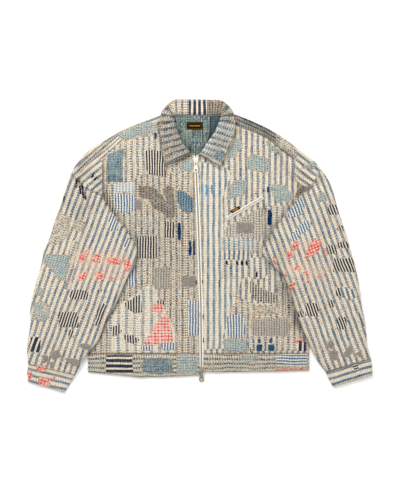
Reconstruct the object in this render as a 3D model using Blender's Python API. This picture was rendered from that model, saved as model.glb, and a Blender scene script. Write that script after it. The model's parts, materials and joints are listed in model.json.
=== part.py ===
"""A patched boro jacket, laid flat on its back with the front up.

Every piece that a maker cuts is one closed solid: a cloth wall over its own sections.
Tables are in millimetres in the cutting frame: x runs across from the centre front,
y from the hem to the collar, z up from the surface. The last step puts the middle of
the whole jacket's box on the origin. Right and left are the wearer's, so the right
front is on the -x side.
"""

import math

import bmesh
import bpy
import numpy as np

MM = 0.001

# Cloth and seams
WALL = 2.0  # patched cloth, two plies
SEAM = 0.3  # gap between pieces at a seam or where one lies on another
FRONT_UNDER = WALL + SEAM  # underside of the front, on the back
FRONT_TOP = FRONT_UNDER + WALL
ON_FRONT = FRONT_TOP + SEAM  # underside of what is sewn on the front

# Body
WAIST_TOP = 49.5  # seam between waistband and body
ARMHOLE_X = 239.0
NECK_HALF = 68.0
BACK_NECK_Y = 645.0
YOKE_BEHIND = 60.0  # how far the yoke reaches behind the shoulder fold
ZIP_HALF = 7.5  # zip and both tapes, from the centre line to the front's edge

# Edge of each front from the hem up the side, round the armhole and along the yoke seam
EDGE_RIGHT = {
    "y": (48, 240, 436, 447, 465, 490, 534, 556, 586, 606, 619, 628),
    "out": (276, 280, 282, 262, 246, 239, 239, 209, 175, 131, 91, 68),
}
EDGE_LEFT = {
    "y": (48, 240, 436, 455, 464, 474, 483, 497, 534, 556, 586, 606, 619, 628),
    "out": (276, 280, 283, 281, 267, 254, 244, 239, 239, 209, 175, 131, 91, 68),
}
ARMHOLE_TOP = 534.0  # where the yoke seam meets the armhole
# Shoulder fold, from the neck to the armhole, as the height of each shoulder
SHOULDER = {
    "out": (68, 94, 129, 169, 201, 226, 239),
    "right_y": (650, 647, 634, 619, 604, 589, 581),
    "left_y": (650, 647, 633, 615, 596, 579, 570),
}
# The zip leans a little across the centre front
ZIP_LINE = {"y": (-8, 19, 169, 369, 421, 547), "x": (7.5, 7.5, 6.2, 0.0, -2.0, -7.5)}
# Neck edge of each front above the zip, under the collar leaf
NECK_EDGE = {
    "y": (547, 560, 576, 600, 622),
    "right_x": (-15.0, -32, -50, -62, -68),
    "left_x": (0.1, 20, 36, 50, 62),
}
ROW_STEP = 45.0  # rows down a flat panel

# Waistband: its lower edge dips on the right and is drawn up on the left
BAND_EDGE = {
    "right_out": (0, 60, 145, 220, 276),
    "right_y": (-4, -7, -9, -1, 4),
    "left_out": (0, 60, 145, 220, 276),
    "left_y": (4, 4, 5, 6, 8),
}
BAND_HALF = 276.0

# Sleeves, a row for each section from armhole to cuff: where its outer and inner edges
# lie, how far the section bows toward the body, and how high a fold stands on it
SECTION_COLUMNS = ("outer_x", "outer_y", "inner_x", "inner_y", "bow", "fold")
SLEEVE_RIGHT = (
    (-239.3, 580, -239.3, 450, 0, 0.0),
    (-274, 559, -239.6, 446, 2, 0.6),
    (-301, 529, -239.4, 442, 2, 1.0),
    (-318, 501, -238, 437, 0, 2.6),
    (-334, 454, -229, 424, 0, 0.8),
    (-346, 419, -216, 403, 0, 0.4),
    (-359, 379, -194, 375, 0, 0.8),
    (-371, 339, -171, 346, 0, 1.2),
    (-386, 304, -151, 301, 0, 1.8),
    (-394, 266, -161, 264, 0, 1.4),
    (-404, 234, -181, 231, 0, 0.6),
    (-414, 199, -199, 187, 0, 0.8),
    (-420, 159, -216, 154, 0, 1.0),
    (-420, 121, -231, 126, 0, 0.6),
    (-426, 84, -251, 80, 0, 1.0),
    (-428, 56, -272, 54, 0, 0.6),
    (-427, 42, -289, 30, 0, 0.4),
    (-425.2, 24, -308.8, -4.5, 0, 0.2),
)
SLEEVE_LEFT = (
    (239.6, 569, 268, 466, 20, 0.0),
    (271, 544, 272, 464, 10, 0.6),
    (292, 528, 275, 463, 4, 1.0),
    (305, 512, 277, 461.5, 0, 2.8),
    (316, 496, 271, 457, 0, 1.2),
    (325, 482, 262, 451, 0, 0.6),
    (336, 454, 241, 431, 0, 0.6),
    (345, 420, 222, 404, 0, 0.4),
    (356, 385, 199, 374, 0, 0.8),
    (368, 350, 177, 341, 0, 1.2),
    (381, 304, 159, 303, 0, 1.8),
    (391, 268, 181, 273, 0, 1.4),
    (397, 240, 209, 245, 0, 0.6),
    (403, 205, 229, 206, 0, 0.8),
    (408, 165, 241, 166, 0, 1.0),
    (416, 128, 249, 131, 0, 0.6),
    (419, 94, 266, 94, 0, 1.0),
    (422, 64, 283, 57, 0, 0.6),
    (427, 50, 301, 26, 0, 0.4),
    (430.2, 38.2, 317.5, 4.3, 0, 0.2),
)
# Cuffs: the two edges of each section, from the sleeve's seam to the open end
CUFF_RIGHT = (
    (-425.2, 23.5, -308.9, -5.0, 0, 0.2),
    (-427, 2, -321, -26, 0, 0.4),
    (-426, -19, -334, -46, 0, 0.0),
)
CUFF_LEFT = (
    (430.4, 37.7, 317.8, 3.8, 0, 0.2),
    (433.5, 17, 326, -15, 0, 0.4),
    (434, -4, 336, -33, 0, 0.0),
)
SLEEVE_SPANS = 8  # panels across a section
TUBE_AIR = 0.8  # between the two layers of a sleeve
EDGE_ROUND = 1.2  # how far a sleeve's folded edge bulges
LIE_CLEAR = 0.6  # between a sleeve and the body it lies on
LIE_MARGIN = 18.0  # a sleeve stays level this far past the body's side
LIE_RAMP = 28.0  # and comes down to the surface over this distance
CAP_LOW_Y = 505.0  # a sleeve lies on the body below this height
CAP_HIGH_Y = 535.0  # and beside it above this one

# Collar: stations from the right tip round the neck to the left tip. Each has its roll
# edge, its outer edge, the height of the roll, and its underside at each edge
COLLAR_COLUMNS = ("roll_x", "roll_y", "edge_x", "edge_y", "roll_rise", "under")
COLLAR = (
    (-17.5, 547.5, -79, 519, 5.0, 4.6),
    (-27, 561, -83, 538, 6.5, 4.6),
    (-39, 576, -87.5, 559, 7.5, 4.6),
    (-47, 596, -92, 584, 8.0, 4.6),
    (-54, 617, -95, 611, 8.5, 4.6),
    (-60, 633, -96, 636, 9.0, 4.6),
    (-63, 643, -93, 652, 8.0, 4.6),
    (-63, 645.6, -81, 668, 6.0, 4.6),
    (-58, 645.8, -60, 684.5, 5.0, 2.4),
    (-31, 645.8, -31, 685, 4.0, 0.0),
    (0, 645.8, 0, 685, 4.0, 0.0),
    (28, 645.8, 28, 684.5, 4.0, 0.0),
    (51, 645.8, 60, 681, 5.0, 2.4),
    (56, 645.4, 79, 665, 6.0, 4.6),
    (55, 641, 89, 647, 8.0, 4.6),
    (51, 630, 92, 626, 9.0, 4.6),
    (44, 612, 90, 599, 8.5, 4.6),
    (34, 594, 83, 580, 8.0, 4.6),
    (21, 577, 74, 563, 7.5, 4.6),
    (11, 561, 67, 540, 6.5, 4.6),
    (2.5, 547.5, 55, 516, 5.0, 4.6),
)
COLLAR_EDGE = 3.0  # the fall's thickness at its outer edge
COLLAR_CREST = 0.25  # share of a half-wave already climbed at the roll edge
COLLAR_SLOPE = 0.3  # how much lower the crest gets toward the outer edge
COLLAR_SPANS = 4

# Patch pockets, a row for each height: where their two edges lie
POCKET_WALL = 1.6
POCKET_RIGHT = {
    "y": (51, 92, 125, 130, 180, 196, 226),
    "low_x": (-219, -224, -230, -229, -188, -161, -117.5),
    "high_x": (-54, -50, -65, -68, -93, -100, -115),
}
POCKET_LEFT = {
    "y": (51, 92, 128, 150, 174, 200, 216, 243),
    "low_x": (59, 56, 68, 77, 86, 100, 108, 120),
    "high_x": (234, 236, 238, 237, 231, 196, 158, 123.5),
}

# Chest pocket on the left front: a diagonal zip, the panel below it and a side tab
CHEST_ZIP_FROM = (71, 387)
CHEST_ZIP_TO = (161, 440)
CHEST_ZIP_WIDE = 9.0
CHEST_ZIP_HIGH = 1.5
CHEST_TAB_AT = (91.8, 409.3)
CHEST_TAB = (22.0, 6.5)
CHEST_TAB_TURN = math.radians(30)

# Neck label, on the inside of the back
LABEL_AT = (-9.0, 619.0)
LABEL = (41.0, 19.0)
LABEL_THICK = 0.7

# Patches: outline points by name, sewn on a front unless a height is given
PATCH_WALL = 0.9
PATCHES = {
    "patch_denim_chest": (
        (-231, 478), (-210, 477), (-189, 478), (-188, 530), (-184, 563), (-208, 556),
        (-228, 546), (-231, 512),
    ),
    "patch_dark_stripe": (
        (-133, 558), (-92, 556), (-88, 541), (-84, 520), (-81, 491), (-124, 496), (-133, 518),
    ),
    "patch_taupe": (
        (-149, 470), (-126, 469), (-103, 463), (-97, 446), (-90, 452), (-88, 464),
        (-75, 470), (-63, 463), (-62, 448), (-61, 432), (-57, 408), (-59, 389), (-78, 387), (-93, 404),
        (-114, 413), (-121, 433), (-142, 438), (-151, 449),
    ),
    "patch_blue_dots": (
        (-54, 458), (-37, 457), (-19, 443), (-13, 434), (-14, 418), (-13, 402), (-32, 401),
        (-43, 408), (-48, 423), (-54, 427), (-54, 442),
    ),
    "patch_sky_stripe": (
        (-217, 449), (-167, 450), (-159, 441), (-158, 405), (-193, 400), (-206, 413),
    ),
    "patch_pale_neck": (
        (92, 589), (106, 584), (111, 570), (101, 558), (91, 541), (69, 533), (76, 556),
        (85, 576),
    ),
    "patch_pale_shoulder": (
        (118, 522), (124, 541), (137, 551), (155, 543), (169, 539), (177, 525), (178, 507),
        (166, 502), (147, 506), (124, 512),
    ),
    "patch_pale_chest": (
        (90, 482), (114, 484), (119, 479), (118, 454), (114, 443), (91, 441), (76, 433),
        (67, 438), (77, 456), (81, 472),
    ),
    "patch_pale_armhole": (
        (176, 471), (193, 473), (208, 470), (220, 471), (223, 457), (235, 451), (235, 437),
        (228, 430), (208, 431), (196, 426), (188, 441), (183, 456),
    ),
    "patch_chest_panel": (
        (64, 362), (112, 391), (158, 418), (171, 398),
        (160, 350), (142, 302), (106, 292), (66, 300),
    ),
}
POCKET_PATCHES = {
    "patch_gingham": (
        (-84, 150), (-74, 140), (-66, 106), (-62, 76),
        (-140, 72), (-118, 106), (-98, 134),
    ),
    "patch_pocket_blue": ((70, 146), (112, 148), (118, 110), (112, 88), (76, 90), (66, 116)),
    "patch_pocket_taupe": ((130, 137), (178, 141), (226, 136), (232, 112), (220, 94), (132, 95)),
}
BAND_PATCHES = {
    "patch_denim_hem": (
        (-143, 26), (-132, 39), (-100, 41), (-64, 38),
        (-64, 4), (-100, -2), (-138, 2),
    ),
}

# Zip
TAPE_UNDER = 3.3
TAPE_TOP = FRONT_TOP
CHAIN_HALF = 1.5
CHAIN_TOP = 5.2
ZIP_TOP_Y = 545.0
ZIP_BOTTOM_Y = 1.0
SLIDER_PLATE = (5.5, 7.0)  # underside and top of the upper plate
SLIDER_BASE = (2.3, 3.0)  # and of the lower one
SLIDER_LONG = 13.0
SLIDER_WIDE = 12.0
SLIDER_NARROW = 8.5
SLIDER_SHOULDER = 0.35  # where the plate is widest, as a share of its half length
SLIDER_CORNER = 1.2
BASE_SHARE = (0.8, 0.9)  # the lower plate's size as a share of the upper one's
JOINT_LAP = 0.3  # how far the post runs into each plate
POST_RADIUS = 1.4
BRIDGE_WIRE = 0.8  # radius of the arch that carries the pull
BRIDGE_AXIS = 10.7  # height of the arch's middle line
BRIDGE_FOOT = 0.5  # how far its feet are sunk into the plate
BRIDGE_REACH = (-2.7, 5.2)  # its two feet, measured along the slider from the pin
BRIDGE_BEND = (1.2, 1.6)  # chamfer at each of its two bends
PIN_HEIGHT = 8.45  # height of the pull's hinge axis
TOP_SLIDER_Y = 533.0
BOTTOM_SLIDER_Y = 10.0
PIN_FROM_SLIDER = -4.6
PULL_LONG = 27.0
PULL_THICK = 1.5
PULL_HEAD = 7.0
PULL_TAIL = 12.0
PULL_NECK = 9.0  # straight-sided length below the pin
PULL_NOSE = (0.2, 0.9, 0.7)  # how far it reaches past the pin: side, end, corner
PULL_SLOT = (2.6, -0.8, -8.0)  # width, and where it starts and ends
PULL_HOLE_RADIUS = 3.2


def between(table, column, at, of="y"):
    """Reads a column of a table at one value of another column."""
    return float(np.interp(at, table[of], table[column]))


def material(name, colour, roughness, metallic=0.0):
    made = bpy.data.materials.new(name)
    made.use_nodes = True
    shader = made.node_tree.nodes["Principled BSDF"]
    shader.inputs["Base Color"].default_value = (*colour, 1.0)
    shader.inputs["Roughness"].default_value = roughness
    shader.inputs["Metallic"].default_value = metallic
    made.diffuse_color = (*colour, 1.0)
    return made


def collect(obj, surface):
    """Puts an object in the jacket's collection with its material."""
    obj.data.materials.clear()
    obj.data.materials.append(surface)
    for old in obj.users_collection:
        old.objects.unlink(obj)
    jacket.objects.link(obj)
    return obj


def mesh_object(name, points, faces, surface):
    """Makes a closed mesh of points in millimetres, with its faces turned outward."""
    mesh = bpy.data.meshes.new(name)
    mesh.from_pydata([tuple(c * MM for c in p) for p in points], [], faces)
    work = bmesh.new()
    work.from_mesh(mesh)
    bmesh.ops.recalc_face_normals(work, faces=work.faces)
    work.to_mesh(mesh)
    work.free()
    obj = bpy.data.objects.new(name, mesh)
    bpy.context.scene.collection.objects.link(obj)
    return collect(obj, surface)


def cloth_panel(name, under, over, surface):
    """A wall of cloth between two grids of points, row by row, closed at its edges."""
    under = np.asarray(under, float)
    over = np.asarray(over, float)
    rows, columns = under.shape[:2]
    points = list(under.reshape(-1, 3)) + list(over.reshape(-1, 3))
    half = rows * columns

    def at(i, j):
        return i * columns + j

    faces = []
    for i in range(rows - 1):
        for j in range(columns - 1):
            quad = (at(i, j), at(i, j + 1), at(i + 1, j + 1), at(i + 1, j))
            faces.append(quad)
            faces.append(tuple(half + k for k in reversed(quad)))
    rim = [at(0, j) for j in range(columns)]
    rim += [at(i, columns - 1) for i in range(1, rows)]
    rim += [at(rows - 1, j) for j in range(columns - 2, -1, -1)]
    rim += [at(i, 0) for i in range(rows - 2, 0, -1)]
    for a, b in zip(rim, rim[1:] + rim[:1]):
        faces.append((a, b, half + b, half + a))
    return mesh_object(name, points, faces, surface)


def level_row(y, low, high):
    """A row straight across a panel: its two ends."""
    return (low, y), (high, y)


def flat_panel(name, rows, spans, bottom, wall, surface):
    """A level panel from the two ends of each row."""
    under = []
    for (x_low, y_low), (x_high, y_high) in rows:
        shares = [j / spans for j in range(spans + 1)]
        under.append(
            [(x_low + (x_high - x_low) * t, y_low + (y_high - y_low) * t, bottom) for t in shares]
        )
    over = [[(x, y, z + wall) for x, y, z in row] for row in under]
    return cloth_panel(name, under, over, surface)


def row_heights(low, high, knots):
    """Heights of a panel's rows: its ends, the table's own rows and even steps between."""
    fixed = sorted({low, high, *[k for k in knots if low < k < high]})
    heights = []
    for a, b in zip(fixed, fixed[1:]):
        steps = max(1, round((b - a) / ROW_STEP))
        heights += [a + (b - a) * k / steps for k in range(steps)]
    return heights + [high]


def edge_table(side):
    return EDGE_RIGHT if side < 0 else EDGE_LEFT


def make_front(side, surface):
    name = "front_right" if side < 0 else "front_left"
    neck_column = "right_x" if side < 0 else "left_x"
    edge = edge_table(side)
    rows = []
    for y in row_heights(WAIST_TOP, NECK_EDGE["y"][-1], edge["y"] + NECK_EDGE["y"]):
        outer = side * (between(edge, "out", y) - SEAM / 2)
        if y <= NECK_EDGE["y"][0]:
            inner = between(ZIP_LINE, "x", y) + side * ZIP_HALF
        else:
            inner = between(NECK_EDGE, neck_column, y)
        rows.append(level_row(y, outer, inner))
    return flat_panel(name, rows, 5, FRONT_UNDER, WALL, surface)


def shoulder_y(side, out):
    column = "right_y" if side < 0 else "left_y"
    return between(SHOULDER, column, out, of="out")


def back_seam_y(side, out):
    """Height of the seam behind the shoulder, between back and yoke."""
    return shoulder_y(side, out) - YOKE_BEHIND


def front_seam_y(side, out):
    """Height of the yoke's forward seam at a distance from the centre."""
    table = edge_table(side)
    seam = sorted((o, y) for y, o in zip(table["y"], table["out"]) if y >= ARMHOLE_TOP)
    return float(np.interp(out, [o for o, _ in seam], [y for _, y in seam]))


def make_back(surface):
    """The back, from the waistband to the yokes and, between them, to the neck."""
    level = min(back_seam_y(side, ARMHOLE_X) for side in (-1, 1)) - SEAM
    rows = []
    for y in row_heights(WAIST_TOP, level, EDGE_RIGHT["y"] + EDGE_LEFT["y"]):
        low, high = (between(edge_table(side), "out", y) - SEAM / 2 for side in (-1, 1))
        rows.append(level_row(y, -low, high))
    for out in reversed(SHOULDER["out"]):
        y_low, y_high = (back_seam_y(side, out) - SEAM for side in (-1, 1))
        edge = NECK_HALF - SEAM if out == NECK_HALF else out - SEAM / 2
        rows.append(((-edge, y_low), (edge, y_high)))
    rows.append(level_row(BACK_NECK_Y, -edge, edge))
    return flat_panel("back", rows, 6, 0.0, WALL, surface)


def fold_section(bottom, top, wall, steps=4):
    """Offsets round a half-turn of cloth between two layers: (out, z) outside and inside."""
    middle = (bottom + top) / 2
    outer = (top - bottom) / 2
    inner = outer - wall
    turn = []
    for k in range(steps + 1):
        angle = math.pi / 2 - math.pi * k / steps
        c, s = math.cos(angle), math.sin(angle)
        turn.append(((outer * c, middle + outer * s), (inner * c, middle + inner * s)))
    return turn


def make_yoke(side, surface):
    """A strip that starts at the forward seam, folds over the shoulder and runs behind."""
    name = "yoke_right" if side < 0 else "yoke_left"
    turn = fold_section(0.0, FRONT_TOP, WALL)
    reach = FRONT_TOP / 2
    outside, inside = [], []
    table = edge_table(side)
    knots = {*SHOULDER["out"], *[o for o in table["out"] if o < ARMHOLE_X]}
    for out in sorted(knots):
        x = side * min(out, ARMHOLE_X - SEAM / 2)
        fold = shoulder_y(side, out) - reach
        seam = front_seam_y(side, out) + 2 * SEAM
        behind = back_seam_y(side, out)
        row_out = [(x, seam, FRONT_TOP)]
        row_in = [(x, seam, FRONT_UNDER)]
        for (step_out, z_out), (step_in, z_in) in turn:
            row_out.append((x, fold + step_out, z_out))
            row_in.append((x, fold + step_in, z_in))
        row_out.append((x, behind, 0.0))
        row_in.append((x, behind, WALL))
        outside.append(row_out)
        inside.append(row_in)
    return cloth_panel(name, inside, outside, surface)


def make_waistband(surface):
    """One band round the hem: right front, fold, back, fold, left front."""
    turn = fold_section(0.0, FRONT_TOP, WALL)
    bend = BAND_HALF - FRONT_TOP / 2
    edge = between(ZIP_LINE, "x", 19)
    spots = (0.0, 60.0, 145.0, 220.0)
    stations = []  # x and z outside, x and z inside, side of the body
    starts = [edge - ZIP_HALF] + [-s for s in spots[1:]]
    stations += [(x, FRONT_TOP, x, FRONT_UNDER, -1) for x in starts]
    stations += [(-bend - a, z, -bend - b, w, -1) for (a, z), (b, w) in turn]
    across = [-s for s in reversed(spots[1:])] + list(spots)
    stations += [(x, 0.0, x, WALL, -1 if x < 0 else 1) for x in across]
    stations += [(bend + a, z, bend + b, w, 1) for (a, z), (b, w) in reversed(turn)]
    ends = [s for s in reversed(spots[1:])] + [edge + ZIP_HALF]
    stations += [(x, FRONT_TOP, x, FRONT_UNDER, 1) for x in ends]
    outside, inside = [], []
    for x_out, z_out, x_in, z_in, side in stations:
        word = "right" if side < 0 else "left"
        low = between(BAND_EDGE, word + "_y", abs(x_out), of=word + "_out")
        heights = [low + (WAIST_TOP - SEAM - low) * k / 2 for k in range(3)]
        outside.append([(x_out, y, z_out) for y in heights])
        inside.append([(x_in, y, z_in) for y in heights])
    return cloth_panel("waistband", inside, outside, surface)


def support(x, y):
    """How high a sleeve's underside lies: on the body, on the surface, or between."""
    half = between(edge_table(x), "out", min(y, ARMHOLE_TOP))
    past = abs(x) - half - LIE_MARGIN
    beside = 1.0 - min(1.0, max(0.0, past / LIE_RAMP))
    above = 1.0 - min(1.0, max(0.0, (y - CAP_LOW_Y) / (CAP_HIGH_Y - CAP_LOW_Y)))
    return (FRONT_TOP + LIE_CLEAR) * beside * above


def tube_section(row, inset, lift, crown):
    """A flattened loop: the lower layer out to in, then the upper layer back."""
    section = dict(zip(SECTION_COLUMNS, row))
    outer = np.array((section["outer_x"], section["outer_y"]), float)
    inner = np.array((section["inner_x"], section["inner_y"]), float)
    bow, fold = section["bow"], section["fold"]
    across = (inner - outer) / np.linalg.norm(inner - outer)
    start = outer + across * (EDGE_ROUND + inset)
    end = inner - across * (EDGE_ROUND + inset)
    toward = np.array((-across[1], across[0]))
    if toward[0] * math.copysign(1, outer[0]) > 0:
        toward = -toward

    def spot(t):
        return start + (end - start) * t + toward * bow * math.sin(math.pi * t * t)

    lower, upper = [], []
    for k in range(SLEEVE_SPANS + 1):
        t = k / SLEEVE_SPANS
        x, y = spot(t)
        low = support(x, y) + lift
        lower.append((x, y, low))
        upper.append((x, y, low - lift + crown + fold * math.sin(math.pi * t)))
    bulge = EDGE_ROUND if inset == 0 else EDGE_ROUND / 2
    first = start - across * bulge
    last = end + across * bulge
    edge_first = (*first, (lower[0][2] + upper[0][2]) / 2)
    edge_last = (*last, (lower[-1][2] + upper[-1][2]) / 2)
    return lower + [edge_last] + upper[::-1] + [edge_first]


def cloth_tube(name, rows, surface):
    """A flattened tube of cloth, open at both ends."""
    outside = [tube_section(r, 0.0, 0.0, 2 * WALL + TUBE_AIR) for r in rows]
    inside = [tube_section(r, WALL, WALL, WALL + TUBE_AIR) for r in rows]
    loop = len(outside[0])
    rings = len(outside)
    points = [p for ring in outside for p in ring] + [p for ring in inside for p in ring]
    half = loop * rings
    faces = []
    for i in range(rings - 1):
        for j in range(loop):
            n = (j + 1) % loop
            quad = (i * loop + j, i * loop + n, (i + 1) * loop + n, (i + 1) * loop + j)
            faces.append(quad)
            faces.append(tuple(half + k for k in reversed(quad)))
    for ring in (0, rings - 1):
        for j in range(loop):
            a, b = ring * loop + j, ring * loop + (j + 1) % loop
            faces.append((a, b, half + b, half + a))
    return mesh_object(name, points, faces, surface)


def make_collar(surface):
    """A folded band: high at its roll, thin at its outer edge."""
    under, over = [], []
    for station in COLLAR:
        at = dict(zip(COLLAR_COLUMNS, station))
        row_under, row_over = [], []
        for k in range(COLLAR_SPANS + 1):
            t = k / COLLAR_SPANS
            x = at["roll_x"] + (at["edge_x"] - at["roll_x"]) * t
            y = at["roll_y"] + (at["edge_y"] - at["roll_y"]) * t
            wave = max(0.0, math.sin(math.pi * (COLLAR_CREST + (1 - COLLAR_CREST) * t)))
            rise = (at["roll_rise"] - COLLAR_EDGE) * wave * (1 - COLLAR_SLOPE * t)
            row_under.append((x, y, at["under"]))
            row_over.append((x, y, at["under"] + COLLAR_EDGE + rise))
        under.append(row_under)
        over.append(row_over)
    return cloth_panel("collar", under, over, surface)


def make_pocket(name, table, surface):
    rows = [
        level_row(y, between(table, "low_x", y), between(table, "high_x", y))
        for y in row_heights(table["y"][0], table["y"][-1], table["y"])
    ]
    return flat_panel(name, rows, 3, ON_FRONT, POCKET_WALL, surface)


def make_zip(tape, teeth):
    """Two tapes and the closed chain between the sliders."""
    heights = row_heights(ZIP_BOTTOM_Y, ZIP_TOP_Y, ZIP_LINE["y"])
    middle = [(y, between(ZIP_LINE, "x", y)) for y in heights]
    near = CHAIN_HALF + SEAM
    far = ZIP_HALF - SEAM
    thick = TAPE_TOP - TAPE_UNDER
    rows = [level_row(y, x - far, x - near) for y, x in middle]
    flat_panel("zip_tape_right", rows, 1, TAPE_UNDER, thick, tape)
    rows = [level_row(y, x + near, x + far) for y, x in middle]
    flat_panel("zip_tape_left", rows, 1, TAPE_UNDER, thick, tape)
    start = BOTTOM_SLIDER_Y + POST_RADIUS + SEAM
    stop = TOP_SLIDER_Y - POST_RADIUS - SEAM
    heights = row_heights(start, stop, ZIP_LINE["y"])
    middle = [(y, between(ZIP_LINE, "x", y)) for y in heights]
    rows = [level_row(y, x - CHAIN_HALF, x + CHAIN_HALF) for y, x in middle]
    flat_panel("zip_chain", rows, 1, TAPE_UNDER, CHAIN_TOP - TAPE_UNDER, teeth)


def plate(name, loops, low, high, surface, smooth=False):
    """A flat plate from closed outlines; outlines inside the first are holes."""
    data = bpy.data.curves.new(name, "CURVE")
    data.dimensions = "2D"
    data.fill_mode = "BOTH"
    data.extrude = (high - low) / 2 * MM
    data.resolution_u = 3
    for loop in loops:
        if smooth:
            spline = data.splines.new("BEZIER")
            spline.bezier_points.add(len(loop) - 1)
            for point, (x, y) in zip(spline.bezier_points, loop):
                point.co = (x * MM, y * MM, 0)
                point.handle_left_type = "AUTO"
                point.handle_right_type = "AUTO"
        else:
            spline = data.splines.new("POLY")
            spline.points.add(len(loop) - 1)
            for point, (x, y) in zip(spline.points, loop):
                point.co = (x * MM, y * MM, 0, 1)
        spline.use_cyclic_u = True
    obj = bpy.data.objects.new(name, data)
    obj.location.z = (low + high) / 2 * MM
    bpy.context.scene.collection.objects.link(obj)
    return collect(obj, surface)


def as_mesh(obj):
    """Turns a curve object into a mesh one with its caps welded."""
    bpy.context.view_layer.update()
    graph = bpy.context.evaluated_depsgraph_get()
    mesh = bpy.data.meshes.new_from_object(obj.evaluated_get(graph))
    work = bmesh.new()
    work.from_mesh(mesh)
    bmesh.ops.remove_doubles(work, verts=work.verts, dist=0.00001)
    bmesh.ops.recalc_face_normals(work, faces=work.faces)
    work.to_mesh(mesh)
    work.free()
    name = obj.name
    place = obj.matrix_world.copy()
    surface = obj.data.materials[0]
    bpy.data.objects.remove(obj)
    made = bpy.data.objects.new(name, mesh)
    made.matrix_world = place
    bpy.context.scene.collection.objects.link(made)
    return collect(made, surface)


def arc(centre_x, centre_y, radius, start, end, steps):
    """Points round an arc, its angles in degrees."""
    made = []
    for k in range(steps + 1):
        angle = math.radians(start + (end - start) * k / steps)
        made.append((centre_x + radius * math.cos(angle), centre_y + radius * math.sin(angle)))
    return made


def union(obj, tool):
    """Joins a second closed mesh to the first one for good."""
    joint = obj.modifiers.new("join_" + tool.name, "BOOLEAN")
    joint.operation = "UNION"
    joint.solver = "EXACT"
    joint.object = tool
    for old in tool.users_collection:
        old.objects.unlink(tool)
    cutters.objects.link(tool)
    tool.hide_render = True
    tool.display_type = "WIRE"


def make_slider(name, y, surface):
    """Two plates on a post round the chain, with an arch on top for the pull."""
    x = between(ZIP_LINE, "x", y)
    half_long = SLIDER_LONG / 2
    outline = [
        (x - SLIDER_NARROW / 2, y - half_long),
        (x + SLIDER_NARROW / 2, y - half_long),
        (x + SLIDER_WIDE / 2, y + half_long * SLIDER_SHOULDER),
        (x + SLIDER_WIDE / 2 - SLIDER_CORNER, y + half_long),
        (x - SLIDER_WIDE / 2 + SLIDER_CORNER, y + half_long),
        (x - SLIDER_WIDE / 2, y + half_long * SLIDER_SHOULDER),
    ]
    body = as_mesh(plate(name, [outline], *SLIDER_PLATE, surface))
    across, along = BASE_SHARE
    inner = [(x + (a - x) * across, y + (b - y) * along) for a, b in outline]
    base = as_mesh(plate(name + "_base", [inner], *SLIDER_BASE, surface))
    post_low, post_high = SLIDER_BASE[1] - JOINT_LAP, SLIDER_PLATE[0] + JOINT_LAP
    bpy.ops.mesh.primitive_cylinder_add(
        vertices=12, radius=POST_RADIUS * MM, depth=(post_high - post_low) * MM,
        location=(x * MM, y * MM, (post_low + post_high) / 2 * MM),
    )
    post = bpy.context.object
    post.name = name + "_post"
    arch = bpy.data.curves.new(name + "_arch", "CURVE")
    arch.dimensions = "3D"
    arch.bevel_depth = BRIDGE_WIRE * MM
    arch.bevel_resolution = 1
    arch.use_fill_caps = True
    pin = y + PIN_FROM_SLIDER
    foot = SLIDER_PLATE[1] - BRIDGE_FOOT
    low, high = (pin + reach for reach in BRIDGE_REACH)
    bend_low, bend_high = BRIDGE_BEND
    path = [(low, foot), (low, BRIDGE_AXIS - bend_low), (low + bend_low, BRIDGE_AXIS)]
    path += [(high - bend_high, BRIDGE_AXIS), (high, BRIDGE_AXIS - bend_high), (high, foot)]
    spline = arch.splines.new("POLY")
    spline.points.add(len(path) - 1)
    for point, (along, up) in zip(spline.points, path):
        point.co = (x * MM, along * MM, up * MM, 1)
    wire = bpy.data.objects.new(name + "_arch", arch)
    bpy.context.scene.collection.objects.link(wire)
    wire = as_mesh(collect(wire, surface))
    for tool in (base, post, wire):
        union(body, tool)
    return body


def make_pull(name, slider_y, rest_on, surface):
    """A flat tab that hangs from the arch and rests with its tip on what is under it."""
    x = between(ZIP_LINE, "x", slider_y)
    radius = PULL_TAIL / 2
    head = PULL_HEAD / 2
    side, end, corner = PULL_NOSE
    outline = [(-head, -PULL_NECK), (-head, side), (-head + corner, end)]
    outline += [(head - corner, end), (head, side), (head, -PULL_NECK)]
    outline += arc(0, -PULL_LONG + radius, radius, 0, -180, 10)
    wide, start, stop = PULL_SLOT
    slot = [(-wide / 2, start), (wide / 2, start), (wide / 2, stop), (-wide / 2, stop)]
    hole = arc(0, -PULL_LONG + radius, PULL_HOLE_RADIUS, 0, 330, 11)
    tab = plate(name, [outline, slot, hole], -PULL_THICK / 2, PULL_THICK / 2, surface)
    tab = as_mesh(tab)
    drop = PIN_HEIGHT - rest_on - SEAM - PULL_THICK / 2
    tab.location = (x * MM, (slider_y + PIN_FROM_SLIDER) * MM, PIN_HEIGHT * MM)
    tab.rotation_euler = (math.asin(drop / PULL_LONG), 0, 0)
    return tab


def strip(name, start, end, wide, low, high, surface):
    """A straight strip between two points."""
    start, end = np.array(start, float), np.array(end, float)
    along = (end - start) / np.linalg.norm(end - start)
    side = np.array((-along[1], along[0])) * wide / 2
    loop = [start - side, end - side, end + side, start + side]
    return plate(name, [[tuple(p) for p in loop]], low, high, surface)


def make_chest_pocket(tape, label):
    high = ON_FRONT + CHEST_ZIP_HIGH
    strip("chest_zip", CHEST_ZIP_FROM, CHEST_ZIP_TO, CHEST_ZIP_WIDE, ON_FRONT, high, tape)
    half = np.array((math.cos(CHEST_TAB_TURN), math.sin(CHEST_TAB_TURN))) * CHEST_TAB[0] / 2
    at = np.array(CHEST_TAB_AT)
    strip("chest_tab", at - half, at + half, CHEST_TAB[1], ON_FRONT, ON_FRONT + LABEL_THICK, label)


def make_label(label):
    x, y = LABEL_AT
    start, end = (x - LABEL[0] / 2, y), (x + LABEL[0] / 2, y)
    strip("neck_label", start, end, LABEL[1], FRONT_UNDER, FRONT_UNDER + LABEL_THICK, label)


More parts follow.
